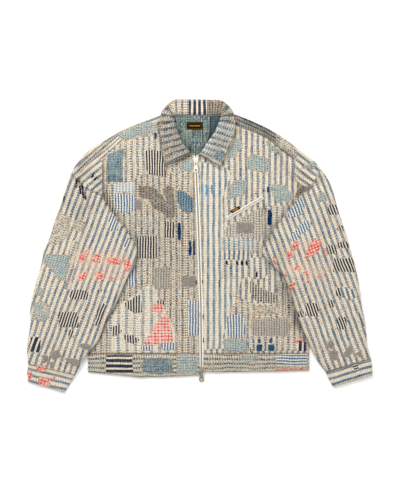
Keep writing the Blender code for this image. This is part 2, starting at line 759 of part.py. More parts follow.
def make_patches(finishes):
    on_pocket = ON_FRONT + POCKET_WALL + SEAM
    groups = ((PATCHES, ON_FRONT), (POCKET_PATCHES, on_pocket), (BAND_PATCHES, ON_FRONT))
    for table, low in groups:
        for name, outline in table.items():
            plate(name, [outline], low, low + PATCH_WALL, finishes[name], smooth=True)


def centre_on_floor():
    """Moves the jacket so that the middle of its box is on the origin and it lies on z = 0."""
    bpy.context.view_layer.update()
    graph = bpy.context.evaluated_depsgraph_get()
    corners = []
    for obj in jacket.objects:
        shown = obj.evaluated_get(graph)
        mesh = shown.to_mesh()
        corners += [obj.matrix_world @ v.co for v in mesh.vertices]
        shown.to_mesh_clear()
    points = np.array([tuple(c) for c in corners])
    low, high = points.min(axis=0), points.max(axis=0)
    shift = (-(low[0] + high[0]) / 2, -(low[1] + high[1]) / 2, 0.0)
    for obj in list(jacket.objects) + list(cutters.objects):
        obj.location.x += shift[0]
        obj.location.y += shift[1]
    print("shift of the cutting frame in mm:", [round(s / MM, 3) for s in shift])
    print("size in mm:", [round(s / MM, 2) for s in high - low])


for leftover in list(bpy.data.objects):
    bpy.data.objects.remove(leftover)
jacket = bpy.data.collections.new("boro_jacket")
cutters = bpy.data.collections.new("cutters")
bpy.context.scene.collection.children.link(jacket)
bpy.context.scene.collection.children.link(cutters)

stripe = material("striped boro cotton", (0.62, 0.58, 0.50), 0.9)
stripe_dark = material("indigo striped cotton", (0.40, 0.42, 0.42), 0.9)
chambray = material("washed chambray", (0.26, 0.33, 0.35), 0.9)
pale = material("pale blue cotton", (0.38, 0.46, 0.46), 0.9)
denim = material("faded denim", (0.12, 0.18, 0.23), 0.9)
navy = material("navy stripe cotton", (0.10, 0.11, 0.15), 0.9)
taupe = material("taupe cotton", (0.31, 0.27, 0.24), 0.9)
sky = material("bright blue stripe cotton", (0.25, 0.42, 0.55), 0.9)
gingham = material("red gingham", (0.80, 0.30, 0.30), 0.9)
tape_white = material("white cotton tape", (0.86, 0.84, 0.78), 0.8)
brass_teeth = material("pale metal teeth", (0.70, 0.62, 0.48), 0.4, 0.8)
enamel = material("white enamelled zinc", (0.88, 0.87, 0.83), 0.35)
nickel = material("aged nickel", (0.42, 0.40, 0.34), 0.35, 1.0)
label_black = material("woven black label", (0.02, 0.015, 0.01), 0.7)

make_back(chambray)
make_yoke(-1, stripe)
make_yoke(1, stripe)
make_front(-1, stripe_dark)
make_front(1, stripe)
cloth_tube("sleeve_right", SLEEVE_RIGHT, stripe)
cloth_tube("sleeve_left", SLEEVE_LEFT, stripe)
cloth_tube("cuff_right", CUFF_RIGHT, stripe_dark)
cloth_tube("cuff_left", CUFF_LEFT, stripe_dark)
make_waistband(stripe_dark)
make_collar(stripe)
make_pocket("pocket_right", POCKET_RIGHT, stripe)
make_pocket("pocket_left", POCKET_LEFT, stripe_dark)
make_chest_pocket(tape_white, label_black)
make_label(label_black)
make_patches({
    "patch_denim_chest": denim,
    "patch_dark_stripe": navy,
    "patch_taupe": taupe,
    "patch_blue_dots": denim,
    "patch_sky_stripe": sky,
    "patch_pale_neck": pale,
    "patch_pale_shoulder": pale,
    "patch_pale_chest": pale,
    "patch_pale_armhole": pale,
    "patch_chest_panel": taupe,
    "patch_gingham": gingham,
    "patch_pocket_blue": sky,
    "patch_pocket_taupe": taupe,
    "patch_denim_hem": denim,
})
make_zip(tape_white, brass_teeth)
make_slider("slider_top", TOP_SLIDER_Y, enamel)
make_pull("pull_top", TOP_SLIDER_Y, CHAIN_TOP, enamel)
make_slider("slider_bottom", BOTTOM_SLIDER_Y, nickel)
make_pull("pull_bottom", BOTTOM_SLIDER_Y, 0.0, nickel)
centre_on_floor()
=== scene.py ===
# %% [markdown]
# # A patched boro jacket, laid flat
# Boro is cloth that has been mended so often that the mends are the cloth: striped cotton,
# covered with patches and with rows of running stitch. This jacket is such a piece, laid out
# on its back with the front up. The solids of its pattern pieces are given; what is added here
# is the cloth as the eye sees it. Each pattern piece becomes a thin shell on the place of its
# solid, each patch a small sheet laid on that shell, and the sewing is real thread.
# %% Open the frame
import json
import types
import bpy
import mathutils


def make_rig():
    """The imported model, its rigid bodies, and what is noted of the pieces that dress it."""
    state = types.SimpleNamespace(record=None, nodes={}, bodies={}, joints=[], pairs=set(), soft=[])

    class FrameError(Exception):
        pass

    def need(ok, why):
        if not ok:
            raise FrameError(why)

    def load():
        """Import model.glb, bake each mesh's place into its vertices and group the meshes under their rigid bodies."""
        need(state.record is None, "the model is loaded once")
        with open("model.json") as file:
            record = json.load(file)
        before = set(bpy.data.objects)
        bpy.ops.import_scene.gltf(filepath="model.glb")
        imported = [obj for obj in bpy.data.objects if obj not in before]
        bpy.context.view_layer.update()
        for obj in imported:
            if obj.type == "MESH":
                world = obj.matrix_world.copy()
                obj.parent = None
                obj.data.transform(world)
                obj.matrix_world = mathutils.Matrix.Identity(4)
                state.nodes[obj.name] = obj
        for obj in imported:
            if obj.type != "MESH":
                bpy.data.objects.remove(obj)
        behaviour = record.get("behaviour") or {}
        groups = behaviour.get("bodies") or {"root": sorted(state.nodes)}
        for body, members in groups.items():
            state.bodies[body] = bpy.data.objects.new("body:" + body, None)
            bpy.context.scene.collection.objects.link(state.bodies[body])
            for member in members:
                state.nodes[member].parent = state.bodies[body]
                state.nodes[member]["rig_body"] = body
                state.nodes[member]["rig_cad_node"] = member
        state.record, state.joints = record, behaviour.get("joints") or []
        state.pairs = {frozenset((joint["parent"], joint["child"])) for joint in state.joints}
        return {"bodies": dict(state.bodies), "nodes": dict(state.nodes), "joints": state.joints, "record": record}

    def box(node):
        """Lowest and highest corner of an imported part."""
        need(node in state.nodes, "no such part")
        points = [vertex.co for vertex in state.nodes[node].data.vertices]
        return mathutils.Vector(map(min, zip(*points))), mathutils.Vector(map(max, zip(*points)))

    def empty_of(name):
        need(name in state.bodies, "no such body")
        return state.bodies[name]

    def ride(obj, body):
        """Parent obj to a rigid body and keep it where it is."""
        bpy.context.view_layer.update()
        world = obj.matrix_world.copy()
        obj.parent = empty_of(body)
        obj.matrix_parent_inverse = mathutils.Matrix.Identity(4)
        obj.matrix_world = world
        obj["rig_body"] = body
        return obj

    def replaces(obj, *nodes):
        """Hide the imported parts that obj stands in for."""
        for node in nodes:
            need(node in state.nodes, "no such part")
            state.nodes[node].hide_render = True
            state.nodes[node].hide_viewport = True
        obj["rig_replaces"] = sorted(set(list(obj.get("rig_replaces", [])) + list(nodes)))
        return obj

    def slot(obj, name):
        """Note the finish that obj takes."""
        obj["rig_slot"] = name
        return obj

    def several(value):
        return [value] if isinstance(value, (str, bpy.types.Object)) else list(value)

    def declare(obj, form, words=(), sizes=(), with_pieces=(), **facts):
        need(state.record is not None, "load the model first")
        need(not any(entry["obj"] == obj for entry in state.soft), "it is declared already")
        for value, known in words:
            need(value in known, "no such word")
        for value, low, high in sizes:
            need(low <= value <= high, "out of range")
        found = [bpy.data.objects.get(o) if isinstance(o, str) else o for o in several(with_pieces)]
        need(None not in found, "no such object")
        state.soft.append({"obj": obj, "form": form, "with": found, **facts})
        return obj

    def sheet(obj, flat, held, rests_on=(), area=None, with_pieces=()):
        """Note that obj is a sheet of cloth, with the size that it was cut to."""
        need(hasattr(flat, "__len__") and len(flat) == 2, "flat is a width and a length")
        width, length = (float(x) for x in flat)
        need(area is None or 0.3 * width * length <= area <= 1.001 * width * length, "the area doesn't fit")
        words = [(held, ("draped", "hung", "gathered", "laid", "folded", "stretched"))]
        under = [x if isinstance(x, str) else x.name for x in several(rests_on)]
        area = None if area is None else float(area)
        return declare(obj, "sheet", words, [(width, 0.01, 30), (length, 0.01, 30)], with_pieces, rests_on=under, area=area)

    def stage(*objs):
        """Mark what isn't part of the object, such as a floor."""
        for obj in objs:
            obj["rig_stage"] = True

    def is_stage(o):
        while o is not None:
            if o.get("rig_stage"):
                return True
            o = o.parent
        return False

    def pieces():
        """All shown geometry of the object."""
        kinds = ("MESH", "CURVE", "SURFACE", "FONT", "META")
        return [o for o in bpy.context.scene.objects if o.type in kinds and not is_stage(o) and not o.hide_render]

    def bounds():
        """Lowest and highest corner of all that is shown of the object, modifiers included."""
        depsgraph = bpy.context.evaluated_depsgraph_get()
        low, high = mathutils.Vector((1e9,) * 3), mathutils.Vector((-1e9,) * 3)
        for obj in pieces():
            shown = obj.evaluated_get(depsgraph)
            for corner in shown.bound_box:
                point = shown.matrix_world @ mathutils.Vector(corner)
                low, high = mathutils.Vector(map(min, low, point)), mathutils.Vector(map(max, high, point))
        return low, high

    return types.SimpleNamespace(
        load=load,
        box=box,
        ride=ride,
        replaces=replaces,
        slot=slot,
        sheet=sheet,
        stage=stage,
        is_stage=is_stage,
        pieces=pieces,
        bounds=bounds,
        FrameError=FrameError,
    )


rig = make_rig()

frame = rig.load()

import json
import math

import bpy
import numpy as np
from mathutils import Vector
from mathutils.bvhtree import BVHTree
from mathutils.geometry import delaunay_2d_cdt

MM = 0.001
BODY = "garment"
cad_low, cad_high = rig.bounds()
print("solids, in mm:", [round(v / MM, 1) for v in cad_high - cad_low])

# %% [markdown]
# A cutting table has its own measure: x runs from the centre front, y up from the hem. All the
# tables below use it, in millimetres. The neck label is sewn on at a known spot, so where its
# solid lies tells how far the cutting table is from the world's origin.
# %% Find the cutting table
LABEL_SPOT = (-9.0, 619.0)
label_low, label_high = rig.box("neck_label")
SHIFT = np.array([(label_low[k] + label_high[k]) / 2 / MM - LABEL_SPOT[k] for k in (0, 1)] + [0.0])
print("cutting table to world, in mm:", SHIFT.round(2))


def to_world(points):
    """Points on the cutting table, in mm, as metres in the world."""
    return (np.asarray(points, float) + SHIFT) * MM


# %% [markdown]
# The jacket lies on a white table under a camera that looks straight down. A long lens from
# three metres keeps the thickness of the cloth from leaning outward. Two large lamps and a
# bright room give the soft, nearly shadowless light of a catalogue table: the only dark places
# are the narrow ones, beside a sleeve and under the collar, and painted shade in the colour of
# the cloth deepens them.
# %% Set the table, the camera and the light
VIEW_HIGH = 1.25  # metres of table that the long side of the frame takes in
EYE = 3.0  # metres from the table to the lens
AIM = (0.0008, -0.0108)  # metres; the collar and the pull at the hem then have even room
scene = bpy.context.scene
scene.view_settings.view_transform = "Standard"

lens = bpy.data.cameras.new("table_camera")
lens.lens = lens.sensor_width * EYE / VIEW_HIGH
camera = bpy.data.objects.new("table_camera", lens)
camera.location = (*AIM, EYE)
scene.collection.objects.link(camera)
scene.camera = camera


def lamp(name, place, size, power, colour):
    """A square soft lamp that points at the jacket."""
    data = bpy.data.lights.new(name, "AREA")
    data.size = size
    data.energy = power
    data.color = colour
    obj = bpy.data.objects.new(name, data)
    obj.location = place
    obj.rotation_euler = (-Vector(place)).to_track_quat("-Z", "Y").to_euler()
    scene.collection.objects.link(obj)


lamp("window_lamp", (-1.1, 1.9, 1.9), 1.3, 66, (1.0, 0.985, 0.96))
lamp("fill_lamp", (1.6, 0.4, 2.6), 2.2, 20, (0.97, 0.985, 1.0))
room = bpy.data.worlds.new("bright_room")
room.use_nodes = True
air = room.node_tree.nodes["Background"]
air.inputs["Color"].default_value = (1.0, 1.0, 1.0, 1.0)
air.inputs["Strength"].default_value = 0.50
scene.world = room
print("the lens is", round(lens.lens), "mm long, with", len(bpy.data.lights), "lamps")

# %% [markdown]
# ## Cloth as a material
# Every fabric here is yarn-dyed cotton, so one way of drawing it serves them all. A piece's UV
# map is its flat pattern in metres; u runs across the warp and v along it. Bars are bands of u,
# checks are bands of both, and a row of running stitch is a band of u that is broken along v.
# Hand weaving is never straight, so noise pushes the coordinates about before anything is drawn,
# and a second noise lets the dye fade. A stitch lies on top of the weave, so the same masks that
# colour it also raise it in the bump.
# %% A helper for nodes and one for colours
def dye(hex_colour):
    """An sRGB hex colour as linear RGBA."""
    made = []
    for k in (1, 3, 5):
        c = int(hex_colour[k:k + 2], 16) / 255
        made.append(c / 12.92 if c <= 0.04045 else ((c + 0.055) / 1.055) ** 2.4)
    return (*made, 1.0)


def add(tree, kind, *values, out=0, sockets=None, **settings):
    """Adds a node: values fill its inputs in order, sockets by name; returns an output."""
    node = tree.nodes.new("ShaderNode" + kind)
    for key, value in settings.items():
        setattr(node, key, value)
    for key, value in [*enumerate(values), *(sockets or {}).items()]:
        if value is None:
            continue
        if isinstance(value, bpy.types.NodeSocket):
            tree.links.new(value, node.inputs[key])
        else:
            node.inputs[key].default_value = value
    return node.outputs[out]


# Settings of a Mix node: its sockets are 0 for the share, 6 and 7 for the two colours
OVER = {"out": 2, "data_type": "RGBA"}  # the second colour laid over the first
TIMES = {**OVER, "blend_type": "MULTIPLY"}  # the first colour darkened by the second
print("a mid grey, linear:", round(dye("#808080")[0], 3))

# %% [markdown]
# A band repeats at its pitch. Bars, stitches and weave are all made of bands, so one helper
# draws them: it divides a coordinate by the pitch, keeps the fraction as the place inside a
# band and the whole number as the band's name. A random value for each name is what makes no
# two bars or stitches alike. A real warp thread is about 0.4 mm, which is far too fine to show,
# so the weave is drawn at 1.3 mm, and the stitches at 6.2 mm where the real ones are 3.6 mm.
# %% Bands, and chance
WEAVE = 1.3  # mm from thread to thread
BEAD = 6.2  # mm from stitch to stitch
LOOP = 4.83  # mm between the columns of stitching that pucker the cloth
THREAD = 0.52  # the share of a stitch's step that its thread covers


def band(tree, across, pitch, width, offset, soft):
    """A mask of bands, and the number of the band, from a coordinate in mm."""
    turn = add(tree, "Math", across, -offset, operation="ADD")
    turn = add(tree, "Math", turn, pitch, operation="DIVIDE")
    number = add(tree, "Math", turn, operation="FLOOR")
    place = add(tree, "Math", turn, operation="FRACT")
    away = add(tree, "Math", place, 0.5, operation="SUBTRACT")
    away = add(tree, "Math", away, operation="ABSOLUTE")
    away = add(tree, "Math", away, pitch, operation="MULTIPLY")
    limits = {"From Min": width / 2 + soft, "From Max": width / 2 - soft}
    return add(tree, "MapRange", away, sockets=limits, interpolation_type="SMOOTHSTEP"), number


def staggered(tree, along, column, soft):
    """Stitches along the columns of cloth, each column with a start of its own."""
    start = add(tree, "TexWhiteNoise", sockets={"W": column}, noise_dimensions="1D")
    place = add(tree, "Math", start, BEAD, along, operation="MULTIPLY_ADD")
    return band(tree, place, BEAD, BEAD * THREAD, 0.0, soft)


def chance(tree, column, row, layer):
    """A random value from 0 to 1 for each stitch."""
    spot = add(tree, "CombineXYZ", column, row, layer)
    return add(tree, "TexWhiteNoise", spot, noise_dimensions="3D")


def drift(tree, flat, scale, detail, reach):
    """Pushes in random directions, as far as half of reach in mm."""
    push = add(tree, "TexNoise", flat, sockets={"Scale": scale, "Detail": detail}, out=1)
    push = add(tree, "VectorMath", push, (0.5, 0.5, 0.5), operation="SUBTRACT")
    return add(tree, "VectorMath", push, sockets={"Scale": reach}, operation="SCALE")


print("weave", WEAVE, "mm, stitches", BEAD, "mm")

# %% [markdown]
# Bars come first. A yarn-dyed bar is woven in, so it could be drawn sharp, but rows of stitching
# cut it into a chain of beads and years of washing have drained it in long streaks. Each bead
# gets its own strength. A check is simpler: the same bars laid both ways, a little transparent,
# so that they are darker where they cross. Rows of running stitch go on top.
# %% Bars, checks and rows of stitch
SHEER = 0.72  # how much one band of a check hides; where two cross, it looks darker


def barred(tree, colour, across, beads, bead_row, bars, bead, streaks):
    """Lays woven bars into a colour; streaks is None where the dye has held."""
    for k, (bar_dye, pitch, share, offset) in enumerate(bars):
        mask, number = band(tree, across, pitch, pitch * share, offset, 0.5)
        luck = chance(tree, number, bead_row, float(k))
        strength = add(tree, "Math", luck, 0.7 * bead, 1.0 - 0.7 * bead, operation="MULTIPLY_ADD")
        swell = add(tree, "Math", beads, 1.3 * bead, 1.0 - 1.3 * bead, operation="MULTIPLY_ADD")
        strength = add(tree, "Math", strength, swell, operation="MULTIPLY")
        strength = add(tree, "Math", strength, mask, operation="MULTIPLY")
        if streaks:
            strength = add(tree, "Math", strength, streaks, operation="MULTIPLY")
        colour = add(tree, "Mix", sockets={0: strength, 6: colour, 7: dye(bar_dye)}, **OVER)
    return colour


def checked(tree, colour, ways, bars):
    """Lays the same bars both ways."""
    for bar_dye, pitch, share, offset in bars:
        for way in ways:
            mask, _ = band(tree, way, pitch, pitch * share, offset, 0.5)
            strength = add(tree, "Math", mask, SHEER, operation="MULTIPLY")
            colour = add(tree, "Mix", sockets={0: strength, 6: colour, 7: dye(bar_dye)}, **OVER)
    return colour


def stitched(tree, colour, height, across, along, rows):
    """Lays rows of running stitch into a colour, and raises them."""
    for k, (yarn, apart, wide, there, offset) in enumerate(rows):
        row, number = band(tree, across, apart, wide, offset, 0.35)
        dashes, dash_number = staggered(tree, along, number, 0.5)
        luck = chance(tree, number, dash_number, k + 7.0)
        sewn = add(tree, "Math", luck, there, operation="LESS_THAN")
        mask = add(tree, "Math", row, dashes, operation="MULTIPLY")
        mask = add(tree, "Math", mask, sewn, operation="MULTIPLY")
        colour = add(tree, "Mix", sockets={0: mask, 6: colour, 7: dye(yarn)}, **OVER)
        height = add(tree, "Math", height, mask, operation="ADD")
    return colour, height


# %% [markdown]
# Then the cloth's own unevenness. A slub is a thick place in a hand-spun thread, so it is noise
# that is drawn out along the cloth. Stitching pulls the cloth into small hollows between the
# loops, and the colour takes painted shade in the hollows and painted light on the loops.
# Where a worn piece has lost its dye or its surface, the fade colour comes through in patches.
# Loose fibres catch the light at a frayed edge, and painted shade, with some soil, darkens the
# cloth where it is folded or handled: both come as values that each piece carries on its points.
# %% Slubs, puckers, wear and painted shade
BLED = "#EBC9AF"  # cotton that red dye has run into


def slubbed(tree, colour, flat, amount):
    """Thick and thin places along the thread."""
    drawn_out = add(tree, "VectorMath", flat, (1.0, 0.07, 1.0), operation="MULTIPLY")
    slubs = add(tree, "TexNoise", drawn_out, sockets={"Scale": 0.34, "Detail": 2.0})
    limits = {"From Min": 0.35, "From Max": 0.75, "To Min": 1.0 - amount, "To Max": 1.0 + amount}
    slubs = add(tree, "MapRange", slubs, sockets=limits)
    return add(tree, "Mix", sockets={0: 1.0, 6: colour, 7: slubs}, **TIMES)


def painted_pucker_shade(tree, colour, height, across, along, amount):
    """Painted shade in the hollows between loops of thread and painted light on the loops, in columns that start at
    random; the loops are also raised.
    """
    column = add(tree, "Math", across, LOOP, operation="DIVIDE")
    column = add(tree, "Math", column, operation="FLOOR")
    loops, loop_number = staggered(tree, along, column, 0.6)
    luck = chance(tree, column, loop_number, 3.0)
    deep = add(tree, "Math", loops, -1.0, 1.0, operation="MULTIPLY_ADD")
    luck = add(tree, "Math", luck, 0.6, 0.4, operation="MULTIPLY_ADD")
    deep = add(tree, "Math", deep, luck, operation="MULTIPLY")
    # the colour is darker in the hollows as painted shade and lighter on the loops as painted light
    limits = {"To Min": 1.0 + 0.35 * amount, "To Max": 1.0 - 1.7 * amount}
    deep = add(tree, "MapRange", deep, sockets=limits)
    colour = add(tree, "Mix", sockets={0: 1.0, 6: colour, 7: deep}, **TIMES)
    return colour, add(tree, "Math", loops, 0.8, height, operation="MULTIPLY_ADD")


def worn(tree, colour, flat, fade, faded, gone):
    """Patches where the dye has faded, and where the surface itself is gone."""
    patina = add(tree, "TexNoise", flat, sockets={"Scale": 0.045, "Detail": 4.0})
    limits = {"From Min": 0.48, "From Max": 0.72, "To Max": faded}
    share = add(tree, "MapRange", patina, sockets=limits)
    colour = add(tree, "Mix", sockets={0: share, 6: colour, 7: dye(fade)}, **OVER)
    if gone:
        holes = add(tree, "TexNoise", flat, sockets={"Scale": 0.10, "Detail": 2.0})
        limits = {"From Min": 0.50, "From Max": 0.56, "To Max": gone}
        share = add(tree, "MapRange", holes, sockets=limits)
        colour = add(tree, "Mix", sockets={0: share, 6: colour, 7: dye(fade)}, **OVER)
    return colour


def handled(tree, colour, grain, worn_edge, frayed):
    """Frayed edges, dye that has bled in, and painted shade with some soil, as each piece carries them on its points.
    """
    edge = add(tree, "Attribute", attribute_name="edge", out=2)
    limits = {"From Min": 0.35, "From Max": 0.0, "To Max": frayed}
    fray = add(tree, "MapRange", edge, sockets=limits)
    fray = add(tree, "Math", fray, grain, operation="MULTIPLY")
    colour = add(tree, "Mix", sockets={0: fray, 6: colour, 7: dye(worn_edge)}, **OVER)
    blush = add(tree, "Attribute", attribute_name="blush", out=2)
    colour = add(tree, "Mix", sockets={0: blush, 6: colour, 7: dye(BLED)}, **OVER)
    # painted shade with some soil, carried on the points, darkens the colour
    soil = add(tree, "Attribute", attribute_name="soil", out=2)
    kept = add(tree, "Math", 1.0, soil, operation="SUBTRACT")
    return add(tree, "Mix", sockets={0: 1.0, 6: colour, 7: kept}, **TIMES)


# %% [markdown]
# The recipe puts these together. `bars` is a list of (colour, pitch in mm, share of the pitch,
# offset in mm). `rows` is a list of (colour, distance between rows, thread width, how many of the
# stitches are there, offset). The other values say how strongly the cloth beads, mottles, puckers
# with painted shade in its hollows and painted light on its loops, fades and frays; `lift` scales
# its relief and `wander` says how many mm its bars stray. Washed cotton is matt: roughness near
# 0.95, IOR 1.5 with little specular left, and a soft sheen from its loose fibres.
# %% The recipe
def cotton(name, ground, bars=(), rows=(), checks=False, bead=0.5, mottle=0.12, pucker_shade=0.30,
           fade="#DDD2BF", faded=0.20, worn_edge="#CDB48F", slub=0.0, lift=1.0, gone=0.0,
           frayed=0.75, wander=7.0):
    """A washed cotton with dyed bars and rows of running stitch."""
    made = bpy.data.materials.new(name)
    made.use_nodes = True
    tree = made.node_tree
    shader = tree.nodes["Principled BSDF"]
    pattern = add(tree, "UVMap", uv_map="pattern")
    flat = add(tree, "VectorMath", pattern, sockets={"Scale": 1000.0}, operation="SCALE")
    pushed = add(tree, "VectorMath", flat, drift(tree, flat, 0.016, 3.0, wander), operation="ADD")
    pushed = add(tree, "VectorMath", pushed, drift(tree, flat, 0.33, 2.0, 1.7), operation="ADD")
    across = add(tree, "SeparateXYZ", pushed)
    along = add(tree, "SeparateXYZ", pushed, out=1)
    grain = add(tree, "TexNoise", flat, sockets={"Scale": 0.28, "Detail": 3.0})

    colour = dye(ground)
    beads, bead_row = band(tree, along, BEAD, BEAD * THREAD, 0.0, 0.8)
    streaks = None
    if faded > 0.05 and not checks:
        drawn_out = add(tree, "VectorMath", flat, (1.0, 0.22, 1.0), operation="MULTIPLY")
        streaks = add(tree, "TexNoise", drawn_out, sockets={"Scale": 0.075, "Detail": 2.0})
        limits = {"From Min": 0.36, "From Max": 0.60, "To Min": 0.76, "To Max": 1.0}
        streaks = add(tree, "MapRange", streaks, sockets=limits)
    if checks:
        colour = checked(tree, colour, (across, along), bars)
    else:
        colour = barred(tree, colour, across, beads, bead_row, bars, bead, streaks)
    colour, height = stitched(tree, colour, beads, across, along, rows)
    if slub:
        colour = slubbed(tree, colour, flat, slub)
    if pucker_shade:
        colour, height = painted_pucker_shade(tree, colour, height, across, along, pucker_shade)
    colour = worn(tree, colour, flat, fade, faded, gone)
    limits = {"From Min": 0.3, "From Max": 0.7, "To Min": 1.0 - mottle, "To Max": 1.0 + mottle}
    mottled = add(tree, "MapRange", grain, sockets=limits)
    colour = add(tree, "Mix", sockets={0: 1.0, 6: colour, 7: mottled}, **TIMES)
    colour = handled(tree, colour, grain, worn_edge, frayed)
    tree.links.new(colour, shader.inputs["Base Color"])

    weft, _ = band(tree, along, WEAVE, WEAVE / 2, 0.0, 0.3)
    warp, _ = band(tree, across, WEAVE, WEAVE / 2, 0.0, 0.3)
    fine = add(tree, "Math", weft, warp, operation="ADD")
    height = add(tree, "Math", fine, 0.25, height, operation="MULTIPLY_ADD")
    height = add(tree, "Math", grain, 1.2, height, operation="MULTIPLY_ADD")
    bump = add(tree, "Bump", sockets={"Height": height, "Strength": 0.7, "Distance": 0.0005 * lift})
    tree.links.new(bump, shader.inputs["Normal"])
    rough = add(tree, "MapRange", grain, sockets={"To Min": 0.86, "To Max": 1.0})
    tree.links.new(rough, shader.inputs["Roughness"])
    shader.inputs["IOR"].default_value = 1.5
    shader.inputs["Specular IOR Level"].default_value = 0.06
    shader.inputs["Sheen Weight"].default_value = 0.03
    shader.inputs["Sheen Roughness"].default_value = 0.5
    return made


# %% [markdown]
# ## The fabrics
# The ground is one blue-striped work cotton, in bars of about 14.5 mm. Over most of it run rows
# of cream and tan thread, which turn the bars into chains of beads. Each piece of the jacket was
# washed, sewn and worn in its own way, so each gets its own version: densely sewn on the right
# front, cleaner beside the zip on the left one, with closer bars on the waistband and one yoke.
# %% Dye the striped cottons
CREAM, TAN, BLUE, DEEP, PALE = "#E9DBC3", "#CFA06C", "#2B6386", "#14284A", "#F4EEE1"
fabrics = {
    "striped": cotton("sewn blue-striped cotton", CREAM, [(BLUE, 14.5, 0.46, 0.0)],
        [(TAN, 4.83, 1.2, 0.28, 1.2), (PALE, 4.83, 1.0, 0.30, -1.0), ("#4E6474", 7.25, 1.1, 0.10, 3.0),
        (DEEP, 14.5, 1.6, 0.10, 0.0)], bead=0.16, pucker_shade=0.15),
    "sewn": cotton("closely sewn blue stripe", "#DFD4BF", [(BLUE, 14.5, 0.47, 0.0)],
        [(TAN, 4.83, 1.4, 0.5, 1.2), (PALE, 4.83, 1.2, 0.45, -1.0), (DEEP, 14.5, 2.1, 0.5, 0.0)],
        bead=0.5, pucker_shade=0.32),
    "clean": cotton("clean blue-striped cotton", "#EADECB", [("#4E7386", 14.5, 0.45, 2.0)],
        [(TAN, 14.5, 1.1, 0.4, 7.2), ("#8B9CA6", 7.25, 0.9, 0.2, 4.0)], bead=0.10, pucker_shade=0.08,
        faded=0.4),
    "dense": cotton("densely sewn striped cotton", "#DCCFB9", [("#346886", 14.5, 0.42, 0.0)],
        [(TAN, 7.25, 1.8, 0.62, 3.6), (DEEP, 14.5, 2.2, 0.55, 0.0), ("#4B5B66", 14.5, 1.7, 0.55, 7.25)],
        bead=0.45, mottle=0.2, pucker_shade=0.34),
    "band": cotton("sewn band stripe", "#D5CBB7", [("#33647B", 11.0, 0.50, 0.0)],
        [(TAN, 5.5, 1.4, 0.45, 2.6), (DEEP, 11.0, 2.2, 0.55, 0.0)], bead=0.30, mottle=0.2, pucker_shade=0.34,
        wander=15.0),
    "cuff": cotton("cuff stripe", "#E8DBC4", [("#47708A", 14.5, 0.44, 0.0)], [(TAN, 14.5, 1.1, 0.5, 4.6),
        (DEEP, 14.5, 1.4, 0.25, 0.0)], bead=0.08, pucker_shade=0.16),
    "panel": cotton("beige, blue and taupe stripe", "#D2C8B8", [("#54788E", 14.5, 0.26, 0.0),
        ("#9B9187", 14.5, 0.30, 7.0)], [(TAN, 7.25, 1.3, 0.6, 3.4), ("#3C566A", 14.5, 1.8, 0.6, 0.0),
        ("#6D6A70", 14.5, 1.5, 0.5, 7.0)], bead=0.3, mottle=0.2, pucker_shade=0.3),
    "collar": cotton("sewn collar stripe", "#B6AD9C", [("#1E4A64", 15.8, 0.50, 0.0)],
        [(TAN, 7.9, 1.7, 0.5, 4.0), (DEEP, 15.8, 2.4, 0.75, 0.0), ("#2E5168", 15.8, 1.9, 0.7, 7.9),
        (PALE, 7.9, 1.2, 0.3, 2.2)], bead=0.22, mottle=0.22, pucker_shade=0.32, wander=10.0),
    "leaf": cotton("faded collar stripe", "#C9C1B1", [("#4A7389", 15.8, 0.50, 0.0)],
        [(TAN, 7.9, 1.6, 0.45, 4.0), ("#2C4A60", 15.8, 2.2, 0.55, 0.0), ("#8FA3A8", 7.9, 2.0, 0.5, 6.0),
        (PALE, 7.9, 1.4, 0.5, 2.2)], bead=0.25, mottle=0.24, pucker_shade=0.3, fade="#A9B4B0", faded=0.6),
    "collar_bars": cotton("navy-barred collar piece", "#E6D8C2", [("#05264A", 12.4, 0.57, 0.0)], [],
        bead=0.04, faded=0.03, pucker_shade=0.10, frayed=0.1),
    "nape": cotton("dark speckled collar piece", "#9A9183", [("#46606E", 7.0, 0.45, 0.0)],
        [("#10172A", 7.0, 2.2, 0.75, 0.0), (TAN, 7.0, 1.6, 0.6, 3.5)], mottle=0.24, pucker_shade=0.4),
    "shoulder": cotton("dark sewn stripe", "#A7A398", [("#2C5068", 9.6, 0.52, 0.0)],
        [(TAN, 9.6, 1.6, 0.5, 4.8), (DEEP, 9.6, 2.2, 0.65, 0.0), (PALE, 9.6, 1.3, 0.4, 3.0)], bead=0.4,
        mottle=0.24, pucker_shade=0.36),
    "wide": cotton("wide-striped cotton", "#EADFCD", [("#34647E", 20.6, 0.38, 0.0)],
        [(PALE, 5.15, 1.1, 0.4, 1.0), (TAN, 10.3, 1.1, 0.4, 3.0), ("#7F929E", 5.15, 1.0, 0.3, 2.4)],
        pucker_shade=0.2),
}
print(len(fabrics), "striped cottons")
